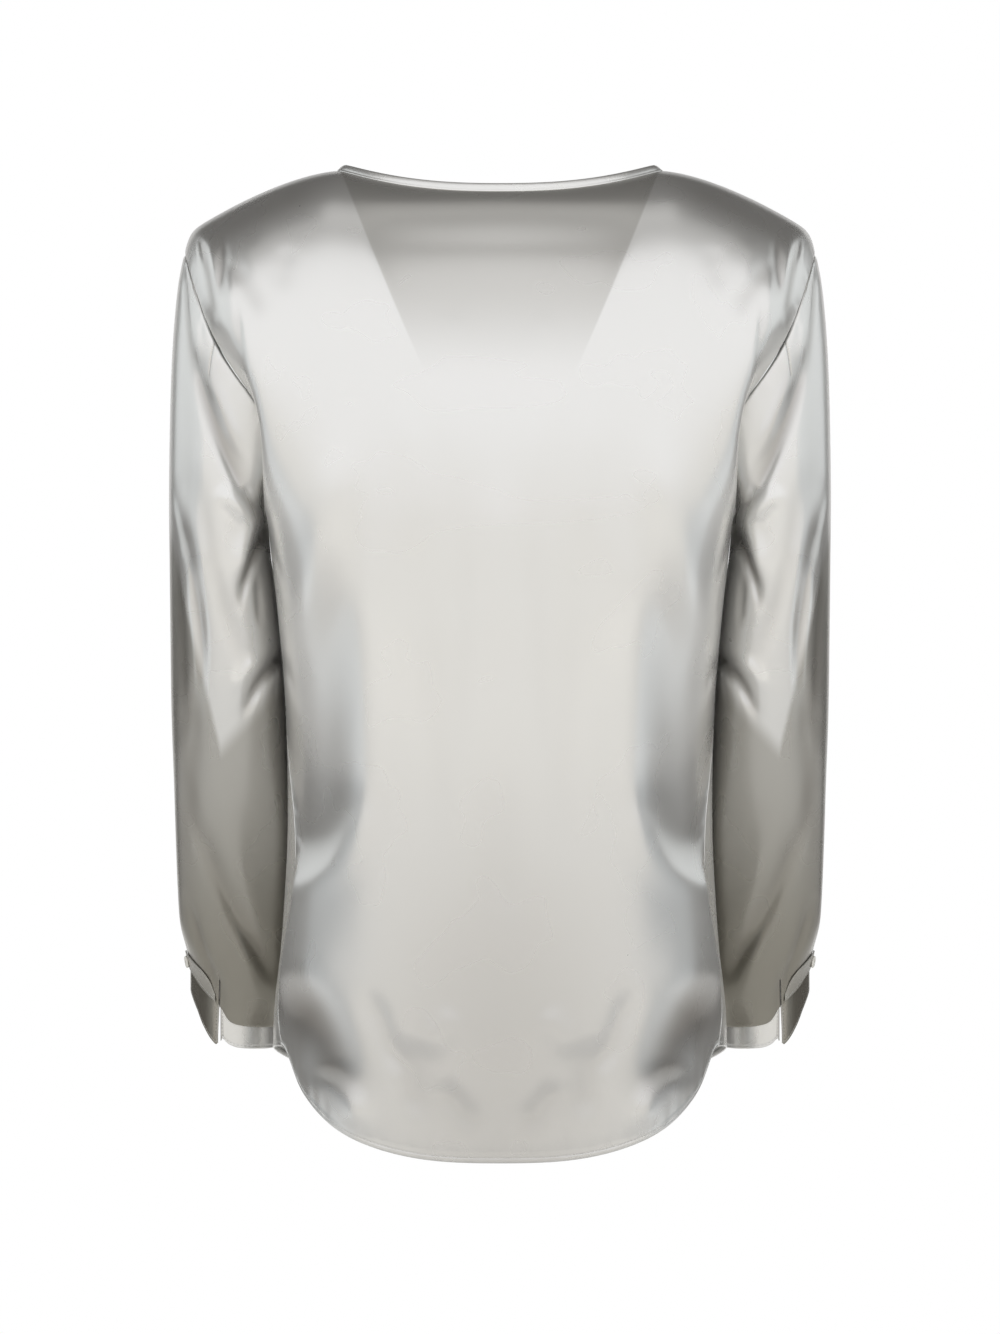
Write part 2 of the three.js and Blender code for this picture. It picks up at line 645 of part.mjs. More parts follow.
// A place on the strip over the vent: on the sleeve's own surface, moved out.
function placketPoint(angle, z, out) {
  const end = cuffRow(angle, "sleeveEnd");
  const part = (z - HEAD_END) / (end - HEAD_END);
  return armPoint(angle, part).addScaledVector(outFromWrist(angle), out);
}

function placketSolid() {
  const first = PLACKET[0].angle;
  const last = PLACKET[PLACKET.length - 1].angle;
  const angles = range(PLACKET_STEPS + 1).map((index) => lerp(first, last, index / PLACKET_STEPS));
  const grid = range(4).map((row) => angles.map((angle) => {
    const top = along(PLACKET, "angle", "top", angle);
    return placketPoint(angle, lerp(top, cuffRow(angle, "sleeveEnd") + 1, row / 3), PLACKET_LIFT + WALL);
  }));
  return clothSolid(grid, gridNormals(grid, false, true), { flipped: true });
}

// A small round shell button with a raised rim, its back against the strip over the vent.
function buttonSolid() {
  const { radius, thickness, rim, angle } = BUTTON;
  const profile = [
    new THREE.Vector2(0, 0),
    new THREE.Vector2(radius - rim, 0),
    new THREE.Vector2(radius, rim),
    new THREE.Vector2(radius, thickness - rim),
    new THREE.Vector2(radius - rim, thickness),
    new THREE.Vector2(radius - 3 * rim, thickness - rim),
    new THREE.Vector2(0, thickness - rim),
  ];
  const shape = new THREE.LatheGeometry(profile, 20);
  const z = along(PLACKET, "angle", "top", angle) - BUTTON.belowTop;
  const surface = (turn, drop) => placketPoint(angle + turn, z - drop, PLACKET_LIFT + WALL);
  const across = surface(2, 0).sub(surface(-2, 0));
  const facing = across.cross(surface(0, 2).sub(surface(0, -2))).normalize();
  shape.applyQuaternion(new THREE.Quaternion().setFromUnitVectors(point(0, 1, 0), facing));
  const seat = surface(0, 0).addScaledVector(facing, SEAM_GAP);
  shape.translate(seat.x, seat.y, seat.z);
  return shape;
}

function material(color, roughness, metalness) {
  return new THREE.MeshStandardMaterial({ color, roughness, metalness });
}

function satin() {
  return material("#d9d9d5", 0.32, 0.15);
}

function shell() {
  return material("#ece7dd", 0.2, 0.0);
}

function named(name, geometry, surface) {
  const mesh = new THREE.Mesh(geometry, surface);
  mesh.name = name;
  return mesh;
}

// A left-hand piece and its mirror image on the right.
function pair(name, geometry, surfaceOf) {
  return [
    named(`${name}_left`, geometry, surfaceOf()),
    named(`${name}_right`, mirrored(geometry), surfaceOf()),
  ];
}

sewEdges();
const blouse = new THREE.Group();
blouse.name = "satin_blouse";
blouse.add(named("back", clothSolid(back, backNormals), satin()));
blouse.add(named("front", clothSolid(front, frontNormals, { flipped: true }), satin()));
blouse.add(named("neck_binding", bindingSolid(), satin()));
blouse.add(...pair("sleeve", sleeveSolid(), satin));
blouse.add(...pair("cuff", cuffSolid(), satin));
blouse.add(...pair("placket", placketSolid(), satin));
blouse.add(...pair("button", buttonSolid(), shell));

export default blouse;
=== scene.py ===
import math

import bmesh
import bpy
import numpy as np
from bpy.props import FloatProperty, FloatVectorProperty, PointerProperty
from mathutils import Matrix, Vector


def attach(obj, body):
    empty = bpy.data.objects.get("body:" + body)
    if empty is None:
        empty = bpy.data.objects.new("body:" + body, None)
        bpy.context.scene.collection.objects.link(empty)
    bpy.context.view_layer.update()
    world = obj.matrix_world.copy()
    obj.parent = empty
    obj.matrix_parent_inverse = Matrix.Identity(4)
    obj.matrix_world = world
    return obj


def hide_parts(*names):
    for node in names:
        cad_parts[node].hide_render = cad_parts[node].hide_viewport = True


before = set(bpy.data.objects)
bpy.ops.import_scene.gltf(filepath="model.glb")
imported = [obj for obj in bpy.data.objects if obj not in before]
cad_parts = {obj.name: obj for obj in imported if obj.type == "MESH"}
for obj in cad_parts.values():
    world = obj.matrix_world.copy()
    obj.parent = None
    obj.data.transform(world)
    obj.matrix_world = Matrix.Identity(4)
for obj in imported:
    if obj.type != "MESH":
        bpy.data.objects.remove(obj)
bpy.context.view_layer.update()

bl_info = {
    "name": "Satin Blouse",
    "version": (1, 0, 0),
    "blender": (4, 5, 0),
    "location": "View3D > Sidebar > Blouse",
    "description": "A long-sleeved silk satin blouse with a V neck, filled out as when worn",
    "category": "Add Mesh",
}

MM = 0.001
SEAM_GAP = 0.3
COLUMN_SQUARENESS = 2.6
ROUND = 2 / 2.3


# ---- tables of the cut and of the worn form, in millimetres ------------------------------------
def table(columns, *rows):
    """Named columns of numbers. The first column is the key that the rows are ordered by."""
    values = np.array(rows, dtype=float)
    named = {name: values[:, index] for index, name in enumerate(columns.split())}
    named["key"] = values[:, 0]
    return named


NECK = {
    "half_width": 119, "point_z": -0.6, "back_centre_y": 50, "back_centre_z": -17.5,
    "back_curve": 2.4, "front_centre_z": -256, "front_curve": 1.2, "column": 0.42,
}
SHOULDER = {"x": 233.5, "z": -63, "seam_y": -4, "slope": 47.4, "slope_curve": 1.54, "end_curve": 40}
UNDERARM = {"x": 171, "z": -262}
ARMHOLE = {"half_depth": 66, "roundness": 0.9, "scoop": 24, "scoop_at": 72, "scoop_width": 26}
VENT = {"angle": 108, "half_angle": 0.2, "top_z": -603}
FRONT_CHEST_RISE = 14
FRONT_YOKE_DIP = 70

BODY = table(
    "z half back front seam square",
    (-735, 166.0, 111, 113, 44, 2.3),
    (-680, 168.0, 114, 115, 44, 2.3),
    (-647, 168.2, 115, 115, 42, 2.3),
    (-627, 168.0, 115.5, 115, 30, 2.3),
    (-600, 165.0, 116, 114, 26, 2.3),
    (-572, 161.8, 116, 113, 32, 2.3),
    (-544, 160.0, 116, 111, 43, 2.3),
    (-500, 157.2, 116, 109, 45, 2.3),
    (-454, 156.6, 116, 108, 37, 2.3),
    (-403, 157.4, 116.5, 110, 18, 2.6),
    (-350, 160.6, 117, 115, 9, 3.2),
    (-313, 164.3, 117.5, 119.5, 4, 3.9),
    (-262, 171.0, 118, 122, 0, 4.4),
    (-211, 177.0, 115.5, 119.5, 0, 4.4),
)
# The curved shirt-tail: lowest point, climb to the side seam, and the shares and powers of the climb.
HEM = {
    "back": {"centre_z": -730, "climb": 83, "terms": ((0.42, 3), (0.33, 14), (0.25, 80))},
    "front": {"centre_z": -700, "climb": 53, "terms": ((1, 1.6),)},
}
# A soft fold down each side, behind the widest line, that hangs over the sleeve's inner edge.
SIDE_FOLD = {
    "angle": 74, "width": 13, "height": 2.5, "start_z": -250, "full_z": -300, "fade_z": -440, "end_z": -560,
}
SLEEVE = table(
    "z outer inner half centre",
    (-650, 235.0, 156.0, 44, -107),
    (-608, 237.0, 155.5, 47, -97),
    (-574, 238.5, 155.2, 48, -83),
    (-536, 240.3, 154.8, 49, -66),
    (-489, 241.5, 154.5, 50.5, -46),
    (-451, 242.2, 155.5, 53, -31),
    (-403, 243.5, 158.0, 57, -16),
    (-350, 244.0, 161.8, 61, -8),
    (-313, 244.3, 165.6, 64, -4),
    (-290, 244.5, 169.0, 66, -3),
)
SLEEVE_HEAD = table(
    "z outer",
    (-290, 244.5),
    (-244, 245.0),
    (-175, 244.0),
    (-134, 242.5),
    (-101, 240.0),
    (-76, 237.0),
    (-63, 233.7),
)
HEAD_END = -290
CUFF_FORM = {
    "x": 198.5, "y": -101, "half_width": 33, "half_depth": 34,
    "flare": 5, "flare_from": 165, "hang_full_z": -650, "hang_none_z": -600, "ripple": 0.4,
}
CUFF = table(
    "angle top bottom sleeve_end",
    (0, -624, -652, -636),
    (50, -624, -653, -637),
    (85, -623, -652, -635),
    (98, -620, -649, -631),
    (106.5, -616, -645, -622),
    (109.5, -616, -650, -620),
    (130, -606, -636, -610),
    (150, -595, -623, -599),
    (180, -583, -610, -588),
    (225, -589, -616, -595),
    (270, -605, -632, -613),
    (315, -618, -645, -629),
    (360, -624, -652, -636),
)
PLACKET = table(
    "angle top",
    (112, -613),
    (119, -603),
    (129, -595),
    (141, -589),
    (157, -583),
    (170, -580),
)

# Folds, one row each: a soft ridge (or trough, when height is negative) from one point to another
# in front view, bowed sideways by bend, with one flank steeper when lean is not 0. Shade is painted
# shade: how far the silk's colour is darkened along it towards the fold colour, where its own dark side
# would fall; a row with height 0 is painted shade only.
FOLD_COLUMNS = "x0 z0 x1 z1 bend width height lean shade"
BACK_FOLDS = table(
    FOLD_COLUMNS,
    # drags that fan down from the shoulder beside the armhole
    (221, -56, 211, -128, 3, 2.8, -2.0, 0.2, 0.36),
    (223, -54, 221, -74, 0, 2.0, 1.0, 0, 0),
    (213, -52, 209, -104, 0, 4.5, 1.2, 0, 0),
    (203, -50, 205, -96, 0, 4.5, -1.1, 0.2, 0.24),
    (200, -80, 192, -132, 0, 5.5, 0.9, 0, 0),
    (199, -70, 174, -112, 2, 6.5, -0.8, 0.2, 0.14),
    (182, -52, 178, -100, 0, 9.0, 0.8, 0, 0),
    (157, -58, 160, -94, 0, 9.0, -0.6, 0, 0.06),
    (192, -104, 187, -160, 0, 4.5, -1.1, -0.5, 0.14),
    # along the shoulder, painted shade only, where the silk turns up to the dark ceiling
    (116, -4, 252, -70, 0, 12, 0, 0, 0.3),
    # the body's sides
    (112, -190, 156, -362, 6, 15, 2.4, 0, -0.02),
    (124, -246, 138, -540, 4, 17, -2.6, 0, 0.10),
    (95, -280, 98, -480, 0, 12, 1.8, 0, 0),
    (98, -462, 152, -536, 10, 12, 1.8, 0.2, 0),
    (112, -430, 156, -520, 8, 14, -0.8, 0, 0.14),
    (154, -400, 150, -520, 0, 10, -1.5, 0, 0.12),
    # the tail, where it swings in over the hips
    (157, -500, 146, -630, 0, 25, 6.0, 0, 0),
    (160, -600, 112, -690, 4, 19, -4.0, 0, 0.62),
    (138, -664, 96, -712, 6, 12, 3.0, 0, -0.03),
    (96, -604, 74, -664, 0, 9, -2.2, 0, 0.05),
    (72, -640, 60, -700, 0, 12, -2.6, 0.2, 0.06),
    (44, -672, 16, -706, 0, 9, -1.8, 0, 0.05),
    (30, -620, 56, -650, 0, 12, 1.6, 0, 0),
    # the middle of the tail, painted shade only, darker towards the hem, where the silk falls away from the
    # light
    (0, -450, 0, -1150, 0, 110, 0, 0, 0.28),
    # faint long folds down the middle
    (24, -260, 30, -440, 0, 8, -1.0, 0, 0.02),
    (0, -230, 0, -360, 0, 12, 1.4, 0, -0.02),
    (54, -300, 46, -520, 4, 11, -1.2, 0, 0.02),
    (0, -430, 6, -560, 0, 14, -1.0, 0, 0.02),
    (68, -170, 60, -290, 3, 12, 1.3, 0, 0),
    (36, -108, 22, -150, 0, 9, 1.2, 0, 0),
)
# the front's folds, their shade column painted shade as on the back
FRONT_FOLDS = table(
    FOLD_COLUMNS,
    (219, -60, 208, -132, 3, 3.0, -3.0, 0.2, 0.18),
    (208, -56, 203, -112, 0, 4.5, 2.2, 0, 0),
    (197, -60, 172, -126, 2, 5.5, -2.2, 0.2, 0.06),
    (176, -64, 160, -128, 0, 8.0, 1.8, 0, 0),
    (160, -150, 96, -262, -8, 11, 2.6, 0, -0.02),
    (150, -196, 112, -330, -4, 12, -2.8, 0, 0.08),
    (104, -250, 118, -470, 4, 15, 3.0, 0, -0.02),
    (128, -300, 138, -560, 4, 16, -3.2, 0, 0.10),
    (84, -300, 92, -620, 0, 14, -2.4, 0, 0.06),
    (60, -330, 66, -640, 4, 15, 2.6, 0, -0.02),
    (26, -262, 10, -420, 0, 10, -1.8, 0, 0.04),
    (34, -430, 40, -660, 0, 14, -2.2, 0, 0.05),
    (0, -420, 0, -640, 0, 13, 1.8, 0, 0),
    (146, -570, 110, -640, 4, 16, -3.4, 0, 0.12),
    (126, -620, 84, -664, 4, 12, 2.4, 0, 0),
)
# the sleeve's folds, their shade column painted shade as on the body
SLEEVE_BACK_FOLDS = table(
    FOLD_COLUMNS,
    (233.5, -70, 226.5, -150, 0, 2.8, -1.4, 0.3, 0.34),
    (229, -84, 222, -150, 0, 4.0, 1.4, 0, 0),
    (227, -130, 182, -252, -5, 7.5, -3.4, 0.4, 0.46),
    (216, -150, 190, -214, 0, 5.0, 1.8, 0, 0),
    (188, -236, 176, -252, 0, 4.0, -1.6, 0, 0),
    (206, -238, 180, -262, 0, 7.0, 2.4, 0, 0),
    (220, -226, 186, -370, -6, 7.5, -1.8, 0, 0.14),
    (236, -240, 224, -330, 0, 6.0, 1.8, 0, 0),
    (162, -254, 191, -324, -4, 4.0, -3.4, -0.3, 0.5),
    (180, -256, 190, -306, -3, 6.0, 3.0, 0, 0),
    (178, -300, 176, -338, 0, 3.4, -1.6, 0, 0.12),
    (240, -238, 219, -384, 5, 4.4, -2.6, 0.3, 0.36),
    (242, -250, 233, -420, 2, 4.0, -1.6, 0, 0.34),
    (236, -300, 224, -386, 4, 3.6, 1.0, 0, 0),
    (148, -348, 190, -406, -3, 4.4, -3.6, -0.3, 0.42),
    (176, -360, 196, -388, -2, 5.0, 2.0, 0, 0),
    (232, -410, 214, -500, -4, 8.0, 1.8, 0, 0),
    (224, -380, 229, -500, 0, 7.0, -1.6, 0, 0.28),
    (230, -470, 166, -604, -6, 7.5, -4.6, 0.3, 0.16),
    (214, -440, 176, -560, -4, 12, 2.0, 0, 0),
    (233, -540, 210, -610, -2, 4.0, -2.8, 0.2, 0.14),
    (196, -556, 180, -612, 0, 8.0, 1.8, 0, 0),
    (161, -440, 161, -660, 0, 10, 3.6, 0, 0),
)
# shade column painted shade here too
SLEEVE_FRONT_FOLDS = table(
    FOLD_COLUMNS,
    (231, -84, 222, -160, 0, 3.6, -2.4, 0.2, 0.12),
    (222, -96, 204, -176, 0, 6.0, 2.0, 0, 0),
    (224, -168, 184, -246, 4, 5.5, -4.0, 0.3, 0.18),
    (204, -176, 180, -226, 0, 6.0, 2.0, 0, 0),
    (168, -276, 212, -322, 5, 6.0, -5.0, 0.3, 0.24),
    (172, -300, 218, -350, 5, 8.0, 3.0, 0, 0),
    (164, -334, 214, -374, 6, 6.5, -5.2, 0.3, 0.24),
    (164, -368, 206, -408, 6, 8.0, 3.2, 0, 0),
    (232, -330, 206, -430, -3, 5.0, -3.0, 0.2, 0.16),
    (228, -440, 190, -560, -3, 8.0, -3.6, 0.2, 0.16),
    (206, -450, 180, -570, 0, 10, 2.4, 0, 0),
    (228, -560, 200, -616, 0, 5.0, -2.6, 0, 0.12),
)
# Painted shade: where only one layer of silk hangs and nothing pale lies behind it, the dark inside shows
# through, and that shade is painted into the colour: on the sleeve below a line in the shape of a V, apex
# down, whose two arms climb by these slopes.
SLEEVE_SEE_THROUGH_SHADE = {
    "apex_x": 206, "apex_z": -418, "outer_slope": 4.2, "inner_slope": 1.1, "soft": 22,
    "least": 0.62, "least_z": -430, "full_z": -600,
}
# Painted shade on the back inside the outline of the front's V, where one layer hangs over the dark inside.
NECK_SEE_THROUGH_SHADE = {"amount": 0.37, "soft": 2.2, "full_z": -84, "end_z": -160}
SIDE_STITCH_TOP = -560
HOLLOW = {"depth": 4.5, "reach": 22, "fade_z": -235, "full_z": -110, "neck_z": -60, "none_z": -20}


# ---- the stage, in metres ----------------------------------------------------------------------
CAMERA = {"distance": 8.0, "z": -0.368, "frame_height": 0.987}
FLOOR = {"radius": 8.0, "z": -1.4}
ROOM = {"colour": "#8C8478", "strength": 0.17}
LAMPS = (
    # name, place, target, size, radiance, colour
    ("wall of light", (0, 3.6, 2.35), (0, 0, 2.35), (11.0, 4.9), 1.2, "#FBFCFF"),
    ("foot of the wall", (0, 3.6, -0.75), (0, 0, -0.75), (11.0, 1.3), 0.86, "#FFFDF8"),
    ("overhead softbox", (0, 2.5, 4.9), (0, 0.1, 0), (9.0, 2.2), 0.38, "#FFFFFF"),
    ("overhead middle", (0, 0.9, 4.8), (0, 0, 0), (2.6, 1.5), 0.5, "#FFFFFF"),
    ("left card", (1.7, -0.42, 0.5), (0, -0.42, 0.5), (2.95, 1.5), 1.12, "#E8EDF0"),
    ("right card", (-1.7, -0.42, 0.5), (0, -0.42, 0.5), (2.95, 1.5), 1.12, "#E8EDF0"),
    ("left low card", (2.6, 1.0, -0.85), (0, 1.0, -0.85), (1.4, 1.1), 0.5, "#DCE7F0"),
    ("right low card", (-2.6, 1.0, -0.85), (0, 1.0, -0.85), (1.4, 1.1), 0.5, "#DCE7F0"),
    ("far softbox", (0, -4.5, 0.0), (0, 0, -0.2), (4.4, 3.2), 0.8, "#FFFFFF"),
)


# ---- arithmetic on whole arrays ----------------------------------------------------------------
def ease(low, high, value):
    """Smooth step: 0 at low, 1 at high, level at both ends."""
    t = np.clip((np.asarray(value, dtype=float) - low) / (high - low), 0, 1)
    return t * t * (3 - 2 * t)


def mix(start, end, part):
    """Straight line from start to end."""
    return start + (end - start) * part


def along(rows, column, at):
    """Smooth cubic through one column of a table, with each row's slope taken from its two neighbours."""
    key, values = rows["key"], rows[column]
    last = len(key) - 1
    at = np.clip(np.asarray(at, dtype=float), key[0], key[-1])
    row = np.clip(np.searchsorted(key, at, side="left") - 1, 0, last - 1)
    before, after = np.maximum(row - 1, 0), np.minimum(row + 2, last)
    start = (values[row + 1] - values[before]) / (key[row + 1] - key[before])
    end = (values[after] - values[row]) / (key[after] - key[row])
    span = key[row + 1] - key[row]
    t = (at - key[row]) / span
    t2, t3 = t * t, t * t * t
    return (
        (2 * t3 - 3 * t2 + 1) * values[row] + (t3 - 2 * t2 + t) * span * start
        + (3 * t2 - 2 * t3) * values[row + 1] + (t3 - t2) * span * end
    )


def rounded_sine(turn, power):
    """A sine whose lobes grow squarer as the power falls below 1."""
    sine = np.sin(turn)
    return np.sign(sine) * np.abs(sine) ** power


def stack(x, y, z):
    """Points as one array whose last axis holds x, y and z."""
    return np.stack(np.broadcast_arrays(x, y, z), axis=-1).astype(float)


def unit(vectors):
    """The same directions with length 1."""
    return vectors / np.maximum(np.linalg.norm(vectors, axis=-1, keepdims=True), 1e-12)


def fold_marks(folds, x, z):
    """Height and painted shade: each fold adds its own times a bell across its line, fading at both ends."""
    height, shade = np.zeros(x.shape), np.zeros(x.shape)
    for index in range(len(folds["x0"])):
        row = {name: values[index] for name, values in folds.items()}
        dx, dz = row["x1"] - row["x0"], row["z1"] - row["z0"]
        length = math.hypot(dx, dz)
        run = ((x - row["x0"]) * dx + (z - row["z0"]) * dz) / length ** 2
        off = ((x - row["x0"]) * dz - (z - row["z0"]) * dx) / length
        off = off - row["bend"] * 4 * run * (1 - run)
        width = row["width"] * np.where(off > 0, 1 + row["lean"], 1 - row["lean"])
        bell = ease(-0.1, 0.3, run) * (1 - ease(0.65, 1.1, run)) * np.exp(-(off / width) ** 2)
        height += row["height"] * bell
        shade += row["shade"] * bell
    return height, shade


def neighbours(values, axis, closed):
    """The array shifted one place each way along an axis, wrapped if closed and held at the ends if not."""
    before, after = np.roll(values, 1, axis), np.roll(values, -1, axis)
    if not closed:
        low, high = [slice(None)] * values.ndim, [slice(None)] * values.ndim
        low[axis], high[axis] = 0, -1
        before[tuple(low)] = values[tuple(low)]
        after[tuple(high)] = values[tuple(high)]
    return before, after


def grid_normals(grid, closed=False, flipped=False):
    """Outward direction at each grid point: the cross product of the steps across and along."""
    left, right = neighbours(grid, 1, closed)
    under, over = neighbours(grid, 0, False)
    normals = unit(np.cross(right - left, over - under))
    return normals if flipped else -normals


# ---- the body's two panels ---------------------------------------------------------------------
def side_fold(side, angle, z):
    """A bell of the angle round the body, faded in below the underarm and out above the hem."""
    from_back = np.degrees(angle if side == "back" else math.pi - angle)
    fade = 1 - ease(SIDE_FOLD["full_z"], SIDE_FOLD["start_z"], z)
    fade = fade * ease(SIDE_FOLD["end_z"], SIDE_FOLD["fade_z"], z)
    return SIDE_FOLD["height"] * fade * np.exp(-((from_back - SIDE_FOLD["angle"]) / SIDE_FOLD["width"]) ** 2)


def section(side, angle, z):
    """The body's level cross-section, a superellipse: 0 is the panel's middle, 90 degrees the widest line.

    x is half times sine, y is depth times cosine, each to the power of 2 over how square the section is;
    past 90 degrees the curve goes on round the other side with the other side's depth.
    """
    toward = 1 if side == "back" else -1
    past = angle > math.pi / 2
    other = "front" if side == "back" else "back"
    depth = np.where(past, along(BODY, other, z), along(BODY, side, z))
    power = 2 / along(BODY, "square", z)
    reach = depth * np.abs(np.cos(angle)) ** power
    half = along(BODY, "half", z) * np.sin(angle) ** power
    return half + side_fold(side, angle, z), toward * np.where(past, -reach, reach)


def seam_angle(side, z):
    """The angle of the side seam: where the section's depth falls to the seam's, less half the gap."""
    depth = along(BODY, "back", z)
    from_back = np.arccos(np.maximum(along(BODY, "seam", z) / depth, 0) ** (along(BODY, "square", z) / 2))
    return (from_back if side == "back" else math.pi - from_back) - SEAM_GAP / 2 / depth * 1.4


def hem_z(side, u):
    """Height of the curved hem: level in the middle, climbing to the sides by powers of the reach."""
    hem = HEM[side]
    reach = np.sin(np.abs(u) * math.pi / 2) ** ROUND
    return hem["centre_z"] + hem["climb"] * sum(share * reach ** power for share, power in hem["terms"])


def armhole_rise(angle):
    """How far up the armhole an angle in degrees lies: half of one less its cosine."""
    return (1 - np.cos(np.radians(angle))) / 2


def armhole_point(angle):
    """The armhole's edge: underarm at 0, back at 90, shoulder point at 180 and front at 270 degrees.

    A line from underarm to shoulder point, bulged front to back by a rounded sine and drawn in
    towards the body by a bell centred at scoop_at.
    """
    turn = np.radians(angle)
    rise = armhole_rise(angle)
    folded = np.where(angle > 180, 360 - angle, angle)
    scoop = ARMHOLE["scoop"] * np.exp(-((folded - ARMHOLE["scoop_at"]) / ARMHOLE["scoop_width"]) ** 2)
    return stack(
        mix(UNDERARM["x"], SHOULDER["x"], rise) - scoop,
        SHOULDER["seam_y"] * rise + ARMHOLE["half_depth"] * rounded_sine(turn, ARMHOLE["roundness"]),
        mix(UNDERARM["z"], SHOULDER["z"], rise),
    )


def top_edge(side, u):
    """Height and width of a panel's top: the neck curve out to NECK's column, then the shoulder seam."""
    part = np.abs(u)
    s = np.clip((part - NECK["column"]) / (1 - NECK["column"]), 0, 1)
    end = NECK["point_z"] - SHOULDER["slope"] - SHOULDER["z"]
    shoulder_z = NECK["point_z"] - SHOULDER["slope"] * s ** SHOULDER["slope_curve"]
    shoulder_z = shoulder_z - end * s ** SHOULDER["end_curve"]
    r = np.minimum(part / NECK["column"], 1)
    neck_z = mix(NECK[side + "_centre_z"], NECK["point_z"], r ** NECK[side + "_curve"])
    on_shoulder = part >= NECK["column"]
    x = np.where(on_shoulder, mix(NECK["half_width"], SHOULDER["x"], s), NECK["half_width"] * r)
    return x, np.where(on_shoulder, shoulder_z, neck_z)


def lower_point(side, u, v):
    """A panel below the yoke line: v runs from the hem to that line, which dips under the V of the front."""
    part = np.minimum(np.abs(u) / NECK["column"], 1)
    dip = FRONT_YOKE_DIP * (1 - part * part) ** 2 if side == "front" else 0
    z = mix(hem_z(side, u), UNDERARM["z"] - dip, v)
    x, y = section(side, np.abs(u) * seam_angle(side, z), z)
    return np.sign(u) * x, y, z


def bow(part):
    """The depth left of a squared quarter ellipse when that part of its height is climbed."""
    return (1 - np.clip(part, 0, 1) ** COLUMN_SQUARENESS) ** (1 / COLUMN_SQUARENESS)


def upper_column(side, u, t):
    """A panel above the yoke line, before the armhole is cut: each column rounds over to the shoulder line
    by bow(), and ends as far along it as the neck edge needs."""
    toward = 1 if side == "back" else -1
    foot_x, foot_y, foot_z = lower_point(side, np.abs(u), 1)
    top_x, top_z = top_edge(side, u)
    ridge_y = SHOULDER["seam_y"] + toward * SEAM_GAP / 2
    in_neck = np.maximum(0, 1 - (top_x / NECK["half_width"]) ** 2)
    if side == "back":
        reach = bow((NECK["back_centre_y"] - ridge_y) * np.sqrt(in_neck) / (foot_y - ridge_y))
    else:
        ridge_z = NECK["point_z"] + FRONT_CHEST_RISE * in_neck ** 2
        reach = np.where(in_neck > 0, (top_z - foot_z) / (ridge_z - foot_z), 1)
    rise = armhole_rise(180 * t)
    y = ridge_y + (foot_y - ridge_y) * bow(rise * reach)
    return stack(mix(foot_x, top_x, rise), y, mix(foot_z, top_z, rise))


def upper_point(side, u, t):
    """The upper part with its outer columns drawn to the armhole's edge, by high powers of u."""
    body = upper_column(side, u, t)
    edge = armhole_point(180 * t if side == "back" else 360 - 180 * t)
    edge[..., 1] += (1 if side == "back" else -1) * SEAM_GAP / 2
    offset = edge - upper_column(side, np.ones_like(u), t)
    body[..., 0] += offset[..., 0] * np.abs(u) ** 10
    body[..., 1] += offset[..., 1] * np.abs(u) ** 3
    body[..., 0] *= np.sign(u)
    return body


def inside_v(x, z):
    """How far a place on the back lies inside the outline of the front's V neck, negative outside it."""
    climb = np.clip((z - NECK["front_centre_z"]) / (NECK["point_z"] - NECK["front_centre_z"]), 0, 1)
    return NECK["half_width"] * climb ** (1 / NECK["front_curve"]) - np.abs(x)


def neck_hollow(x, z):
    """The back sinks inside the V, where the front holds it no longer, by an exponential of the distance."""
    inside = 1 - np.exp(-np.maximum(0, inside_v(x, z)) / HOLLOW["reach"])
    fade = ease(HOLLOW["fade_z"], HOLLOW["full_z"], z) * (
        1 - ease(HOLLOW["neck_z"], HOLLOW["none_z"], z)
    )
    return -HOLLOW["depth"] * inside * fade


def blurred(grid, axis, sigma, closed=False):
    """The grid blurred along one axis by a bell, each free end continued by its own point reflection so
    that the edge stays where it is."""
    reach = int(math.ceil(3 * sigma))
    grid = np.moveaxis(grid, axis, 0)
    if closed:
        padded = np.concatenate([grid[-reach:], grid, grid[:reach]])
    else:
        low = 2 * grid[0] - grid[1:reach + 1][::-1]
        high = 2 * grid[-1] - grid[-reach - 1:-1][::-1]
        padded = np.concatenate([low, grid, high])
    steps = np.arange(-reach, reach + 1)
    weights = np.exp(-0.5 * (steps / sigma) ** 2)
    weights /= weights.sum()
    count = len(grid)
    result = sum(weight * padded[index:index + count] for index, weight in enumerate(weights))
    return np.moveaxis(result, 0, axis)


def panel_columns(columns):
    """Where a panel's columns lie across it, from -1 to 1, closer together near its edges."""
    across = np.linspace(-1, 1, columns)
    return across * (1.28 - 0.28 * across ** 2)


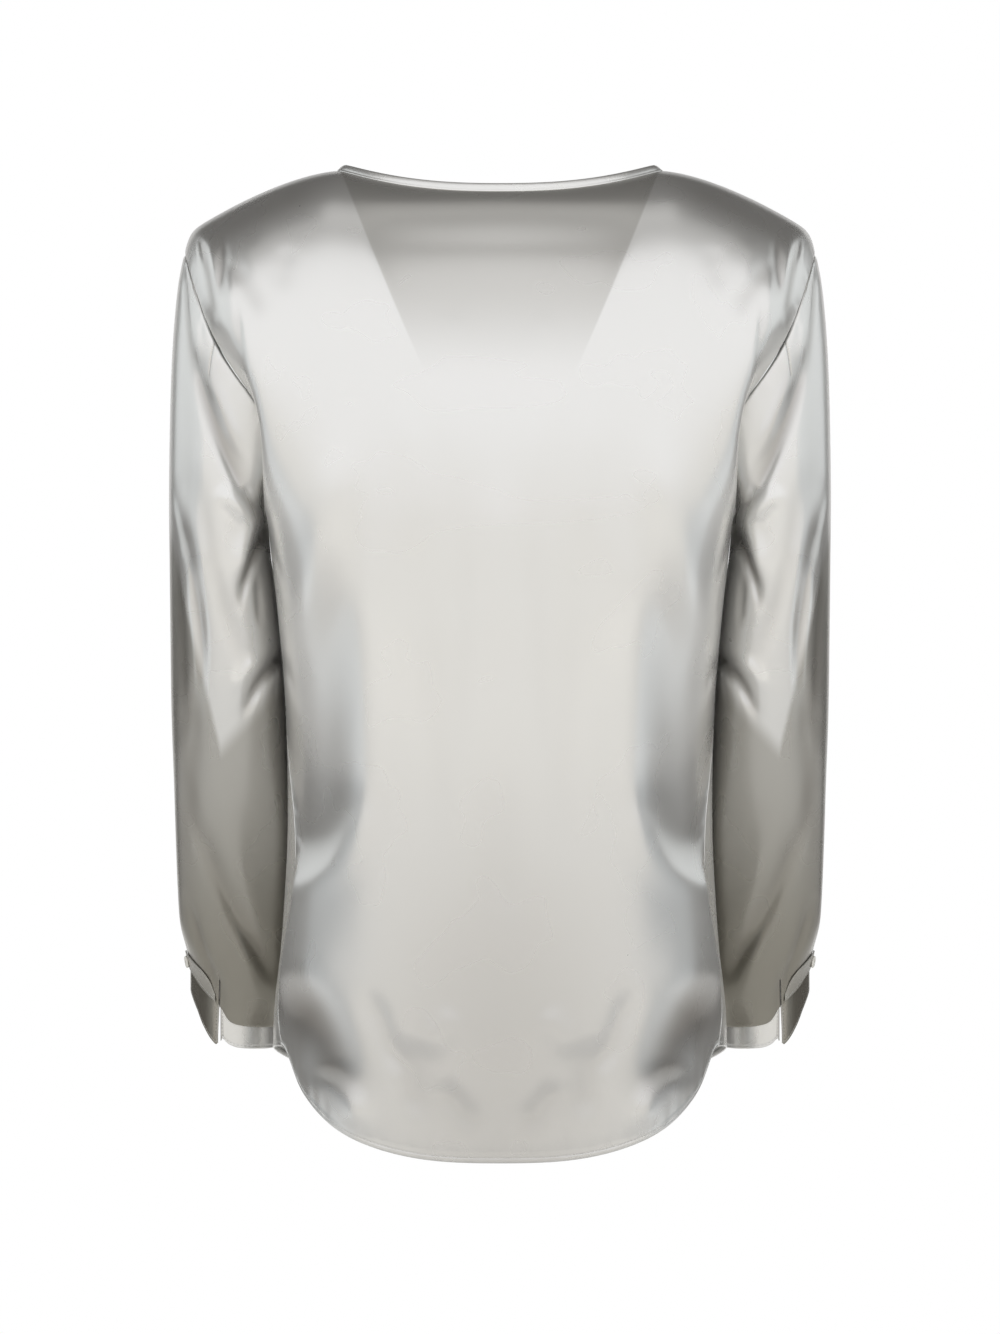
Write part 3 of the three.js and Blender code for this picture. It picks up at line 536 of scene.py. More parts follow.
def panel_surface(side, columns=207, lower_rows=110, upper_rows=94):
    """Outer face of a panel with its marks, and its normals: the lower and upper parts on one grid, blurred
    so that no line shows between them, then raised and sunk along the normals by the folds."""
    u = panel_columns(columns)[None, :]
    v = np.linspace(0, 1, lower_rows, endpoint=False)[:, None]
    s = np.linspace(0, 1, upper_rows)[:, None]
    t = mix(np.arccos(1 - 2 * s) / math.pi, s, np.maximum(np.abs(u) ** 4, ease(0.3, 0.8, s)))
    lower = stack(*lower_point(side, u, v))
    grid = np.concatenate([lower, upper_point(side, np.broadcast_to(u, t.shape), t)])
    from_top = np.arange(len(grid))[::-1][:, None, None]
    grid = blurred(grid, 0, 4)
    grid = mix(grid, blurred(grid, 1, 3), ease(0, 14, from_top))
    normals = grid_normals(grid, flipped=side == "front")
    x, z = grid[..., 0], grid[..., 2]
    lift, shade = fold_marks(BACK_FOLDS if side == "back" else FRONT_FOLDS, np.abs(x), z)
    lift = lift * (1 - np.abs(u) ** 40) * ease(0, 3, from_top[..., 0])
    see_through_shade, past = np.zeros_like(x), np.zeros_like(x)
    if side == "back":
        lift = lift + neck_hollow(x, z) * ease(0, 3, from_top[..., 0])
        # painted see-through shade inside the outline of the front's V
        see_through_shade = NECK_SEE_THROUGH_SHADE["amount"] * ease(NECK_SEE_THROUGH_SHADE["end_z"], NECK_SEE_THROUGH_SHADE["full_z"], z)
        past = inside_v(x, z) / NECK_SEE_THROUGH_SHADE["soft"]
    grid = grid + lift[..., None] * normals
    marks = np.stack([shade, see_through_shade, past], axis=-1)
    return np.concatenate([grid, marks], axis=-1), grid_normals(grid, flipped=side == "front")


# ---- sleeve, cuff and vent ---------------------------------------------------------------------
def cuff_row(angle, column):
    """A height of the cuff at an angle round the wrist."""
    return along(CUFF, column, angle % 360)


def cuff_point(angle, z, out):
    """Outer face of the cuff, an ellipse moved out by a distance, its free end flaring off the wrist."""
    turn = np.radians(angle)
    overlap = np.where(angle >= VENT["angle"], 1 - ease(VENT["angle"], CUFF_FORM["flare_from"], angle), 0)
    hang = 1 - ease(CUFF_FORM["hang_full_z"], CUFF_FORM["hang_none_z"], z)
    lift = out + CUFF_FORM["flare"] * np.where(angle > 180, 0, overlap) * hang
    return stack(
        CUFF_FORM["x"] - (CUFF_FORM["half_width"] + lift) * np.cos(turn),
        CUFF_FORM["y"] + (CUFF_FORM["half_depth"] + lift) * np.sin(turn),
        z,
    )


def head_point(angle, part):
    """Sleeve head: rings that fan round the underarm from the armhole, part 0, to a level ring, part 1."""
    rise = armhole_rise(angle)
    outer_x = along(SLEEVE_HEAD, "outer", mix(SHOULDER["z"], HEAD_END, part))
    inner_z = mix(UNDERARM["z"], HEAD_END, part)
    inner_x = mix(UNDERARM["x"] + 0.6, along(SLEEVE, "inner", inner_z), part)
    half = mix(ARMHOLE["half_depth"], along(SLEEVE, "half", inner_z), part)
    bulge = rounded_sine(np.radians(angle), mix(ARMHOLE["roundness"], ROUND, part))
    shift = armhole_point(angle)[..., 0] - mix(UNDERARM["x"], SHOULDER["x"], rise)
    return stack(
        mix(inner_x, outer_x, rise) + shift * (1 - part) ** 2,
        mix(SHOULDER["seam_y"] * rise, along(SLEEVE, "centre", inner_z), part) + half * bulge,
        mix(inner_z, mix(SHOULDER["z"], HEAD_END, part), rise),
    )


def arm_point(angle, part):
    """Arm of the sleeve: level superellipses from the table, part 0 at the head's end and 1 over the cuff,
    where they are drawn in to the cuff's outline."""
    turn = np.radians(angle)
    z = mix(HEAD_END, cuff_row(angle, "sleeve_end"), part)
    outer, inner = along(SLEEVE, "outer", z), along(SLEEVE, "inner", z)
    place = stack(
        (outer + inner) / 2 - (outer - inner) / 2 * np.cos(turn),
        along(SLEEVE, "centre", z) + along(SLEEVE, "half", z) * rounded_sine(turn, ROUND),
        z,
    )
    return mix(place, cuff_point(angle, z, 1.5), ease(0.9, 1, part)[..., None])


def sleeve_angles(count=192):
    """Angles round the sleeve, with both edges of the vent among them."""
    edges = [VENT["angle"] - VENT["half_angle"], VENT["angle"] + VENT["half_angle"]]
    even = np.linspace(0, 360, count, endpoint=False)
    even = even[np.abs(even - VENT["angle"]) > VENT["half_angle"] + 0.6]
    return np.sort(np.concatenate([even, edges]))


def sleeve_surface(head_rows=70, arm_rows=140):
    """Outer face of the left sleeve with its marks, and its normals: head, then arm, blurred and folded as
    the panels are, each fold on the back or the front side only."""
    angles = sleeve_angles()[None, :]
    head = head_point(angles, np.linspace(0, 1, head_rows, endpoint=False)[:, None])
    arm = arm_point(angles, np.linspace(0, 1, arm_rows)[:, None])
    grid = blurred(blurred(np.concatenate([head, arm]), 0, 3), 1, 1.2, closed=True)
    normals = grid_normals(grid, closed=True, flipped=True)
    row = np.arange(len(grid))[:, None]
    fade = ease(0, 5, row) * (1 - ease(len(grid) - 10, len(grid) - 1, row))
    x, z = grid[..., 0], grid[..., 2]
    facing = np.sin(np.radians(angles))
    back_height, back_shade = fold_marks(SLEEVE_BACK_FOLDS, x, z)
    front_height, front_shade = fold_marks(SLEEVE_FRONT_FOLDS, x, z)
    on_back, on_front = ease(-0.05, 0.3, facing), ease(-0.05, 0.3, -facing)
    grid = grid + (back_height * on_back + front_height * on_front)[..., None] * fade[..., None] * normals
    off = x - SLEEVE_SEE_THROUGH_SHADE["apex_x"]
    line = SLEEVE_SEE_THROUGH_SHADE["apex_z"] + np.where(
        off > 0, SLEEVE_SEE_THROUGH_SHADE["outer_slope"] * off, -SLEEVE_SEE_THROUGH_SHADE["inner_slope"] * off
    )
    # painted shade along the folds, and painted see-through shade below the V line
    shade = back_shade * on_back + front_shade * on_front
    see_through_shade = mix(SLEEVE_SEE_THROUGH_SHADE["least"], 1, ease(SLEEVE_SEE_THROUGH_SHADE["least_z"], SLEEVE_SEE_THROUGH_SHADE["full_z"], z))
    marks = np.stack([shade, see_through_shade, (line - z) / SLEEVE_SEE_THROUGH_SHADE["soft"]], axis=-1)
    return np.concatenate([grid, marks], axis=-1), grid_normals(grid, closed=True, flipped=True)


# ---- meshes ------------------------------------------------------------------------------------
def to_linear(hex_colour):
    """sRGB hex to linear RGB with alpha."""
    parts = [int(hex_colour[index:index + 2], 16) / 255 for index in (1, 3, 5)]
    return tuple(c / 12.92 if c <= 0.04045 else ((c + 0.055) / 1.055) ** 2.4 for c in parts) + (1.0,)


EDGES = {"bottom": (0, False), "top": (0, True), "left": (1, False), "right": (1, True)}


def from_edge(grid, edge):
    """The grid turned so that its first row lies along the named edge and its rows go inward from it."""
    axis, high = EDGES[edge]
    turned = np.moveaxis(grid, axis, 0)
    return turned[::-1] if high else turned


def to_place(grid, edge):
    """Undoes from_edge."""
    axis, high = EDGES[edge]
    return np.moveaxis(grid[::-1] if high else grid, 0, axis)


def lines_at(grid, positions):
    """Lines of a grid at fractional positions along its first axis."""
    low = np.clip(np.floor(positions).astype(int), 0, len(grid) - 2)
    part = (positions - low).reshape(-1, *[1] * (grid.ndim - 1))
    return mix(grid[low], grid[low + 1], part)


def moved(grid, shift):
    """The grid with its places moved and its marks kept."""
    return np.concatenate([grid[..., :3] + shift, grid[..., 3:]], axis=-1)


def worked_edge(grid, normals, edge, profile):
    """Adds lines close to one edge and sinks them: profile rows give the distance from the edge and how
    deep the cloth lies there, as at a seam, or at a hem with its row of stitches."""
    grid, normals = from_edge(grid, edge), from_edge(normals, edge)
    distance, depth = np.array(profile, dtype=float).T
    spacing = np.median(np.linalg.norm((grid[1] - grid[0])[..., :3], axis=-1))
    near = distance / spacing
    rest = np.arange(math.floor(near[-1]) + 1, len(grid))
    positions = np.concatenate([near, rest])
    sink = np.concatenate([depth, np.zeros(len(rest))]).reshape(-1, 1, 1)
    grid, normals = lines_at(grid, positions), unit(lines_at(normals, positions))
    return to_place(moved(grid, -sink * normals), edge), to_place(normals, edge)


def puckered(grid, normals, edge, height, reach, wave, seed):
    """Small waves along a sewn edge, whose thread draws the cloth up: three sines of random phase along
    the edge, none at the edge itself, most at reach from it and fading beyond."""
    line, outward = from_edge(grid, edge), from_edge(normals, edge)
    run = np.concatenate([[0], np.cumsum(np.linalg.norm(np.diff(line[0, :, :3], axis=0), axis=-1))])
    phases = np.random.default_rng(seed).uniform(0, math.tau, 3)
    waves = sum(np.sin(run / wave * math.tau * rate + phase) for rate, phase in zip((1, 1.37, 0.61), phases))
    steps = np.linalg.norm(np.diff(line[..., :3], axis=0), axis=-1)
    away = np.concatenate([np.zeros((1, line.shape[1])), np.cumsum(steps, axis=0)]) / reach
    lift = height / 3 * waves[None, :] * away * np.exp(1 - away)
    return to_place(moved(line, lift[..., None] * outward), edge)


def turned_in(grid, normals, edge, profile):
    """A strip that goes on from one edge: profile rows give how far on and how far inward each line lies."""
    rows, faces = from_edge(grid, edge), from_edge(normals, edge)
    line, face = rows[0], faces[0]
    onward = line[..., :3] - rows[2, ..., :3]
    onward = unit(onward - (onward * face).sum(-1, keepdims=True) * face)
    return np.stack([moved(line, on * onward - inward * face) for on, inward in profile])


def seam_line(grid, normals, edge, distance):
    """The line at a distance in from one edge, with the outward directions on it."""
    rows, faces = from_edge(grid, edge), from_edge(normals, edge)
    steps = np.median(np.linalg.norm(np.diff(rows[:40, ..., :3], axis=0), axis=-1), axis=1)
    away = np.concatenate([[0], np.cumsum(steps)])
    position = np.array([np.interp(distance, away, np.arange(len(away)))])
    return lines_at(rows, position)[0, :, :3], unit(lines_at(faces, position)[0])


def new_object(name, mesh, material):
    """A mesh made into a shaded object at the origin."""
    mesh.polygons.foreach_set("use_smooth", np.ones(len(mesh.polygons), dtype=bool))
    mesh.materials.append(material)
    mesh.validate()
    piece = bpy.data.objects.new(name, mesh)
    bpy.context.scene.collection.objects.link(piece)
    return piece


def filled_mesh(name, points, faces):
    """A mesh from points in millimetres and an array of faces that all have as many corners."""
    mesh = bpy.data.meshes.new(name)
    mesh.vertices.add(len(points))
    mesh.vertices.foreach_set("co", (points * MM).astype(np.float32).ravel())
    mesh.loops.add(faces.size)
    mesh.loops.foreach_set("vertex_index", faces.ravel().astype(np.int32))
    mesh.polygons.add(len(faces))
    mesh.polygons.foreach_set("loop_start", np.arange(0, faces.size, faces.shape[1], dtype=np.int32))
    mesh.update(calc_edges=True)
    return mesh


class Cloth:
    """Points with their marks, quads and flat UVs gathered from several grids, then made one mesh."""

    def __init__(self):
        self.points, self.quads, self.uvs, self.count = [], [], [], 0

    def add(self, grid, flipped=False, absent=None, flat=(0.3, 0.01)):
        """Adds a grid. Its UVs run evenly over the size flat, in metres."""
        rows, columns, channels = grid.shape
        if channels == 3:
            grid = np.concatenate([grid, np.zeros_like(grid)], axis=-1)
        i, j = np.meshgrid(np.arange(rows - 1), np.arange(columns - 1), indexing="ij")
        if absent is not None:
            i, j = i[~absent], j[~absent]
        i, j = i.ravel(), j.ravel()
        near, far = i * columns + j, (i + 1) * columns + j
        quads = np.stack([near, far, far + 1, near + 1], 1)
        if flipped:
            quads = quads[:, ::-1]
        across, along_it = np.linspace(0, flat[0], columns), np.linspace(0, flat[1], rows)
        uv = stack(across[None, :], along_it[:, None], 0)[..., :2]
        self.points.append(grid.reshape(-1, 6))
        self.quads.append(quads + self.count)
        self.uvs.append(uv.reshape(-1, 2)[quads].reshape(-1, 2))
        self.count += rows * columns

    def build(self, name, material, wall=None):
        """The mesh object: coincident points merged, every face turned as the first grid's were, and a wall
        of cloth set inward if one is given."""
        points = np.concatenate(self.points)
        mesh = filled_mesh(name, points[:, :3], np.concatenate(self.quads))
        layer = mesh.uv_layers.new(name="cut")
        layer.data.foreach_set("uv", np.concatenate(self.uvs).ravel())
        # The marks carry painted shade into the silk's colour: fold shade, see-through shade, and how far
        # past the edge of the see-through outline a place lies.
        for channel, mark in enumerate(("shade", "see_through_shade", "past")):
            values = mesh.attributes.new(mark, "FLOAT", "POINT")
            values.data.foreach_set("value", points[:, 3 + channel].astype(np.float32))
        shape = bmesh.new()
        shape.from_mesh(mesh)
        shape.faces.ensure_lookup_table()
        sample = [(shape.faces[at], shape.faces[at].normal.copy()) for at in range(0, len(self.quads[0]), 37)]
        bmesh.ops.remove_doubles(shape, verts=shape.verts, dist=2e-6)
        bmesh.ops.delete(shape, geom=[v for v in shape.verts if not v.link_faces], context="VERTS")
        bmesh.ops.recalc_face_normals(shape, faces=shape.faces)
        if sum(face.normal.dot(before) for face, before in sample if face.is_valid) < 0:
            bmesh.ops.reverse_faces(shape, faces=shape.faces)
        shape.to_mesh(mesh)
        shape.free()
        piece = new_object(name, mesh, material)
        if wall:
            shell = piece.modifiers.new("cloth thickness", "SOLIDIFY")
            shell.thickness = wall * MM
            shell.offset = -1
        return piece


def mirrored(grid):
    """The same grid on the other side of the body."""
    return grid * np.array([-1.0] + [1.0] * (grid.shape[-1] - 1))


def stitches(line, outward, spacing, length, radius):
    """Points and triangles of stitches along a line: each a spindle of six sides with pointed ends, half
    sunk in the cloth, lying along the line at even spacing."""
    steps = np.linalg.norm(np.diff(line, axis=0), axis=-1)
    run = np.concatenate([[0], np.cumsum(steps)])
    centres = np.arange(spacing / 2, run[-1], spacing)

    def at(values, places):
        """Values at places along the line, on straight lines between its points."""
        return np.stack([np.interp(places, run, values[:, axis]) for axis in range(3)], axis=-1)

    place = at(line, centres)
    along_line = unit(at(line, centres + 0.2) - at(line, centres - 0.2))
    up = unit(at(outward, centres))
    side = np.cross(along_line, up)
    turns = np.linspace(0, math.tau, 6, endpoint=False)
    rings = [
        place[:, None] + along_line[:, None] * shift * length + radius * (
            np.cos(turns)[None, :, None] * side[:, None] + np.sin(turns)[None, :, None] * up[:, None]
        )
        for shift in (-0.3, 0.3)
    ]
    tips = [
        (place + along_line * shift * length)[:, None] - up[:, None] * radius * 0.6
        for shift in (-0.5, 0.5)
    ]
    points = np.concatenate([tips[0], rings[0], rings[1], tips[1]], axis=1)
    ring = np.arange(6)
    after = (ring + 1) % 6
    faces = np.concatenate([
        np.stack([np.zeros(6, int), 1 + after, 1 + ring], 1),
        np.stack([1 + ring, 1 + after, 7 + after], 1),
        np.stack([1 + ring, 7 + after, 7 + ring], 1),
        np.stack([np.full(6, 13), 7 + ring, 7 + after], 1),
    ])
    all_faces = faces[None] + 14 * np.arange(len(place))[:, None, None]
    return points.reshape(-1, 3), all_faces.reshape(-1, 3)


def stitched_object(name, runs, material):
    """One mesh of all the stitches of several runs."""
    points, faces, count = [], [], 0
    for run_points, run_faces in runs:
        points.append(run_points)
        faces.append(run_faces + count)
        count += len(run_points)
    return new_object(name, filled_mesh(name, np.concatenate(points), np.concatenate(faces)), material)


# ---- materials ---------------------------------------------------------------------------------
def add_node(tree, kind, inputs=None, settings=None, links=None):
    """Adds a node, sets its properties and input values, and links sockets to its inputs."""
    node = tree.nodes.new(kind)
    for name, value in (settings or {}).items():
        setattr(node, name, value)
    for name, value in (inputs or {}).items():
        node.inputs[name].default_value = value
    for name, socket in (links or {}).items():
        tree.links.new(socket, node.inputs[name])
    return node


def new_material(name):
    """An empty node material and its tree."""
    material = bpy.data.materials.new(name)
    material.use_nodes = True
    material.node_tree.nodes.clear()
    return material, material.node_tree


def coloured(tree, factor, first, second):
    """A mix of two colours by a factor. Either may be a colour or a socket."""
    mixer = add_node(tree, "ShaderNodeMix", settings={"data_type": "RGBA"}, links={0: factor})
    for index, colour in ((6, first), (7, second)):
        if isinstance(colour, bpy.types.NodeSocket):
            tree.links.new(colour, mixer.inputs[index])
        else:
            mixer.inputs[index].default_value = colour
    return mixer.outputs[2]


def noise(tree, vector, **inputs):
    """A cloudy noise read at a vector."""
    return add_node(tree, "ShaderNodeTexNoise", inputs, links={"Vector": vector}).outputs["Fac"]


def surfaced(tree, inputs, links):
    """A Principled surface led to the material's output."""
    surface = add_node(tree, "ShaderNodeBsdfPrincipled", inputs, links=links)
    add_node(tree, "ShaderNodeOutputMaterial", links={"Surface": surface.outputs["BSDF"]})


def silk_charmeuse():
    """Silk charmeuse: long warp floats lie side by side, so the face is a soft, slightly grainy mirror over
    a warm grey body colour, and light runs in broad bands along each fold. One layer by itself is thin
    enough to show the dark inside, and in a deep fold the silk mirrors its own warm shadow side: both are
    painted shade in the colour, mixed towards a darker grey and towards a warm brown."""
    name = "silk charmeuse"
    if name in bpy.data.materials:
        return bpy.data.materials[name]
    sizes, colours = bpy.context.scene.blouse_sizes, bpy.context.scene.blouse_colours
    material, tree = new_material(name)
    cut = add_node(tree, "ShaderNodeUVMap", settings={"uv_map": "cut"})
    # Warp floats are 0.03 mm apart. They are drawn about 13 times as coarse, so that they show at all.
    warp = add_node(tree, "ShaderNodeMapping", {"Scale": (2600, 300, 1)}, links={"Vector": cut.outputs["UV"]})
    weft = add_node(tree, "ShaderNodeMapping", {"Scale": (320, 2400, 1)}, links={"Vector": cut.outputs["UV"]})
    threads, slubs = (noise(tree, run.outputs["Vector"], Scale=1.0, Detail=3.0) for run in (warp, weft))
    grain = add_node(tree, "ShaderNodeMath", settings={"operation": "ADD"}, links={0: threads, 1: slubs})
    # Handled silk is not equally glossy all over: soft clouds about 60 mm across.
    clouds = noise(tree, cut.outputs["UV"], Scale=16.0, Detail=2.0)
    gloss = add_node(
        tree, "ShaderNodeMapRange", {"To Min": sizes.gloss_blur - 0.05, "To Max": sizes.gloss_blur + 0.05},
        links={"Value": clouds},
    )
    raised = add_node(
        tree, "ShaderNodeBump", {"Strength": 0.003, "Distance": 0.0001},
        links={"Height": grain.outputs["Value"]},
    )
    # Painted shade: the colour is mixed towards the see-through shade where one layer hangs over the dark
    # inside, then towards the fold colour along folds.
    shade, see_through_shade, past = (
        add_node(tree, "ShaderNodeAttribute", settings={"attribute_name": mark}).outputs["Fac"]
        for mark in ("shade", "see_through_shade", "past")
    )
    edge = add_node(
        tree, "ShaderNodeMapRange", settings={"interpolation_type": "SMOOTHSTEP"}, links={"Value": past},
    )
    see_through_part = add_node(
        tree, "ShaderNodeMath", settings={"operation": "MULTIPLY"},
        links={0: see_through_shade, 1: edge.outputs["Result"]},
    )
    cloth = coloured(tree, see_through_part.outputs["Value"], colours.silk, colours.painted_see_through_shade)
    folded = coloured(tree, shade, cloth, colours.painted_fold_shade)
    surfaced(
        tree, {"Metallic": 0.7, "Specular IOR Level": 0.6, "Sheen Weight": 0.1, "Sheen Roughness": 0.4},
        {"Base Color": folded, "Roughness": gloss.outputs["Result"], "Normal": raised.outputs["Normal"]},
    )
    return material


def silk_thread():
    """Twisted silk sewing thread, a shade greyer than the cloth, with a soft gloss along the twist."""
    material, tree = new_material("silk sewing thread")
    place = add_node(tree, "ShaderNodeTexCoord")
    # The twist repeats every 0.4 mm and is drawn at its real size.
    twist = noise(tree, place.outputs["Object"], Scale=2500.0)
    tint = coloured(tree, twist, to_linear("#A9A7A1"), bpy.context.scene.blouse_colours.thread)
    surfaced(tree, {"Roughness": 0.45, "Specular IOR Level": 0.6}, {"Base Color": tint})
    return material


def trocas_shell():
    """Mother-of-pearl button blank, turned and polished: milky, hard gloss with a faint cloud."""
    material, tree = new_material("trocas shell, polished")
    place = add_node(tree, "ShaderNodeTexCoord")
    cloud = noise(tree, place.outputs["Object"], Scale=350.0, Detail=4.0)
    tint = coloured(tree, cloud, to_linear("#D9D4C8"), bpy.context.scene.blouse_colours.shell)
    surfaced(tree, {"Roughness": 0.18, "Coat Weight": 0.4, "Coat Roughness": 0.08}, {"Base Color": tint})
    return material


# ---- the pieces --------------------------------------------------------------------------------
# How the cloth lies beside its edges: distance from the edge, and how deep it is drawn in.
SEAM_PROFILE = [(0, 1.0), (0.35, 0.62), (0.8, 0.3), (1.4, 0.1), (2.2, 0)]
HEM_PROFILE = [
    (0, 0.35), (0.3, 0.08), (0.8, 0), (3.1, 0), (3.6, 0.3), (4.1, 0.1), (4.8, 0.25), (8, 0.1), (13, 0),
]
NECK_PROFILE = [(0, 0.5), (0.5, 0.3), (1.2, 0.1), (2.2, 0)]
WRIST_PROFILE = [(0, 0.3), (0.3, 0.08), (0.8, 0), (2, 0)]
BAND_PROFILE = [
    (0, 0.45), (0.15, 0.2), (0.4, 0.05), (0.8, 0), (1.7, 0.04), (2.0, 0.16), (2.3, 0.04), (3.2, 0),
]
# How it goes on past them: how far on, and how far inward.
SEAM_ALLOWANCE = [(0, 0), (0.1, 0.3), (0.1, 1.2), (0, 3.5), (-0.3, 7)]
HEM_TURNED = [(0, 0), (0.25, 0.2), (0.3, 0.5), (0.2, 0.8), (-0.2, 1.0), (-2, 1.05), (-4, 1.0)]
NECK_TURNED = [(0, 0), (0, 0.4)]
WRIST_TURNED = [(0, 0), (0.15, 0.15), (0.15, 0.4), (-0.1, 0.6), (-2.5, 0.65)]
PUCKER = {"height": 0.32, "reach": 3.2, "wave": 11}
HEM_STITCH, BAND_STITCH, SIDE_STITCHES = 3.6, 2.0, (1.6, 4.6)
BINDING = {"lift": 0.15, "stand": 2.3, "knob": 0.4, "points": 560}
# The folded tape in cross-section: distance from the panel's edge into the neck, and height off its face.
TAPE = [
    (-1.0, 0.25), (-0.9, 0.5), (-0.5, 0.62), (0.2, 0.62), (0.7, 0.54), (1.2, 0.62), (2.4, 0.7), (3.8, 0.66),
    (4.7, 0.5), (5.3, 0.15), (5.5, -0.35), (5.3, -0.85), (4.6, -1.15), (3.6, -1.25), (1.5, -1.2),
    (-1.0, -1.05),
]
PLACKET_OUT = 1.7
BUTTON = {
    "radius": 4.5, "thickness": 1.8, "angle": 163, "below_top": 7,
    "hole": 0.62, "hole_at": 1.05, "dish_radius": 0.62, "dish_height": 0.72, "well_depth": 1.0,
}
# The cut of what shows, in metres: width and length, and square metres where it is not a rectangle.
# Back, front and sleeve areas are worked out from garment measures, not measured on the model.
CUTS = {
    "back": {"flat": (0.50, 0.73), "area": 0.335, "held": "hung"},
    "front": {"flat": (0.50, 0.70), "area": 0.287, "held": "hung"},
    "sleeve": {"flat": (0.32, 0.551), "area": 0.144, "held": "hung"},
    "cuff": {"flat": (0.215, 0.03), "held": "hung"},
    "placket": {"flat": (0.050, 0.018), "held": "laid"},
    "neck_binding": {"flat": (0.84, 0.018), "held": "folded"},
}
BAND_WALLS = {"cuff": 0.9, "placket": 0.8}
TAPE_WALL = 0.3
# The size in metres that the UVs of the folded tape span.
TAPE_SPAN = (0.83, 0.017)


def panel_piece(side):
    """A panel with its side seams, armholes, shoulders, neck and hem worked."""
    grid, normals = panel_surface(side)
    for seed, edge in enumerate(("left", "right")):
        grid = puckered(grid, normals, edge, seed=seed + (10 if side == "back" else 20), **PUCKER)
        grid, normals = worked_edge(grid, normals, edge, SEAM_PROFILE)
    grid = puckered(grid, normals, "bottom", 0.22, 5, 17, seed=3)
    grid, normals = worked_edge(grid, normals, "bottom", HEM_PROFILE)
    return worked_edge(grid, normals, "top", NECK_PROFILE)


def sleeve_piece():
    """The left sleeve from one side of the vent round to the other, rows from wrist to armhole, and which
    of its cells the vent leaves open."""
    grid, normals = sleeve_surface()
    angles = sleeve_angles()
    vent = int(np.argmin(np.abs(angles - VENT["angle"] + VENT["half_angle"])))
    order = (np.arange(len(angles) + 1) + vent + 1) % len(angles)
    grid, normals = grid[::-1, order], normals[::-1, order]
    grid = puckered(grid, normals, "top", seed=31, **PUCKER)
    grid, normals = worked_edge(grid, normals, "top", SEAM_PROFILE)
    grid, normals = worked_edge(grid, normals, "bottom", WRIST_PROFILE)
    absent = np.zeros((grid.shape[0] - 1, grid.shape[1] - 1), dtype=bool)
    absent[:, -1] = grid[:-1, -1, 2] < VENT["top_z"]
    return grid, normals, absent


def banded(grid):
    """A band's face and normals with all four edges worked."""
    normals = grid_normals(grid[..., :3], flipped=True)
    for edge in EDGES:
        grid, normals = worked_edge(grid, normals, edge, BAND_PROFILE)
    return grid, normals


def cuff_surface(columns=150, rows=20):
    """Outer face of the left cuff from one side of the vent right round to the other, top row first. Its free
    end hangs in one layer over the dark inside, and that shade is painted on it: see-through shade and a
    little fold shade."""
    start, end = VENT["angle"] + VENT["half_angle"], VENT["angle"] - VENT["half_angle"] + 360
    angles = (np.linspace(start, end, columns) % 360)[None, :]
    part = np.linspace(0, 1, rows)[:, None]
    z = mix(cuff_row(angles, "top"), cuff_row(angles, "bottom"), part)
    place = cuff_point(angles, z, CUFF_FORM["ripple"] * np.sin(np.radians(angles) * 6 + 1.6))
    # painted shade at the cuff's free end: see-through shade, and a little fold shade
    see_through_part = np.where(angles > 180, 0, ease(VENT["angle"] - 1, VENT["angle"] + 1, angles)) * np.ones_like(z)
    return np.concatenate([place, np.stack([0.12 * see_through_part, see_through_part, np.ones_like(z)], axis=-1)], axis=-1)


def placket_point(angle, z, out):
    """A place on the strip over the vent: on the sleeve's own surface, moved out."""
    end = cuff_row(angle, "sleeve_end")
    turn = np.radians(angle)
    outward = stack(-np.cos(turn), np.sin(turn), 0)
    return arm_point(angle, (z - HEAD_END) / (end - HEAD_END)) + np.asarray(out)[..., None] * outward


def placket_surface(columns=44, rows=30):
    """Outer face of the left placket, its curved top row first, bulged by half a sine across it, with painted
    see-through shade on it."""
    angles = np.linspace(PLACKET["angle"][0], PLACKET["angle"][-1], columns)[None, :]
    part = np.linspace(0, 1, rows)[:, None]
    z = mix(along(PLACKET, "top", angles), cuff_row(angles, "sleeve_end") + 1, part)
    place = placket_point(angles, z, PLACKET_OUT + 0.35 * np.sin(part * math.pi))
    # painted see-through shade, a little lighter than at the cuff's free end
    return np.concatenate([place, np.broadcast_to([0, 0.8, 1], place.shape)], axis=-1)


def button_frame():
    """Where the left button sits: its seat and the directions across, down and out of the placket."""
    angle = np.array(float(BUTTON["angle"]))
    z = along(PLACKET, "top", angle) - BUTTON["below_top"]
    seat = placket_point(angle, z, PLACKET_OUT + 0.3)
    across = unit(placket_point(angle + 2, z, PLACKET_OUT) - placket_point(angle - 2, z, PLACKET_OUT))
    down = unit(placket_point(angle, z - 2, PLACKET_OUT) - placket_point(angle, z + 2, PLACKET_OUT))
    out = unit(np.cross(across, down))
    return seat, across, np.cross(out, across), out


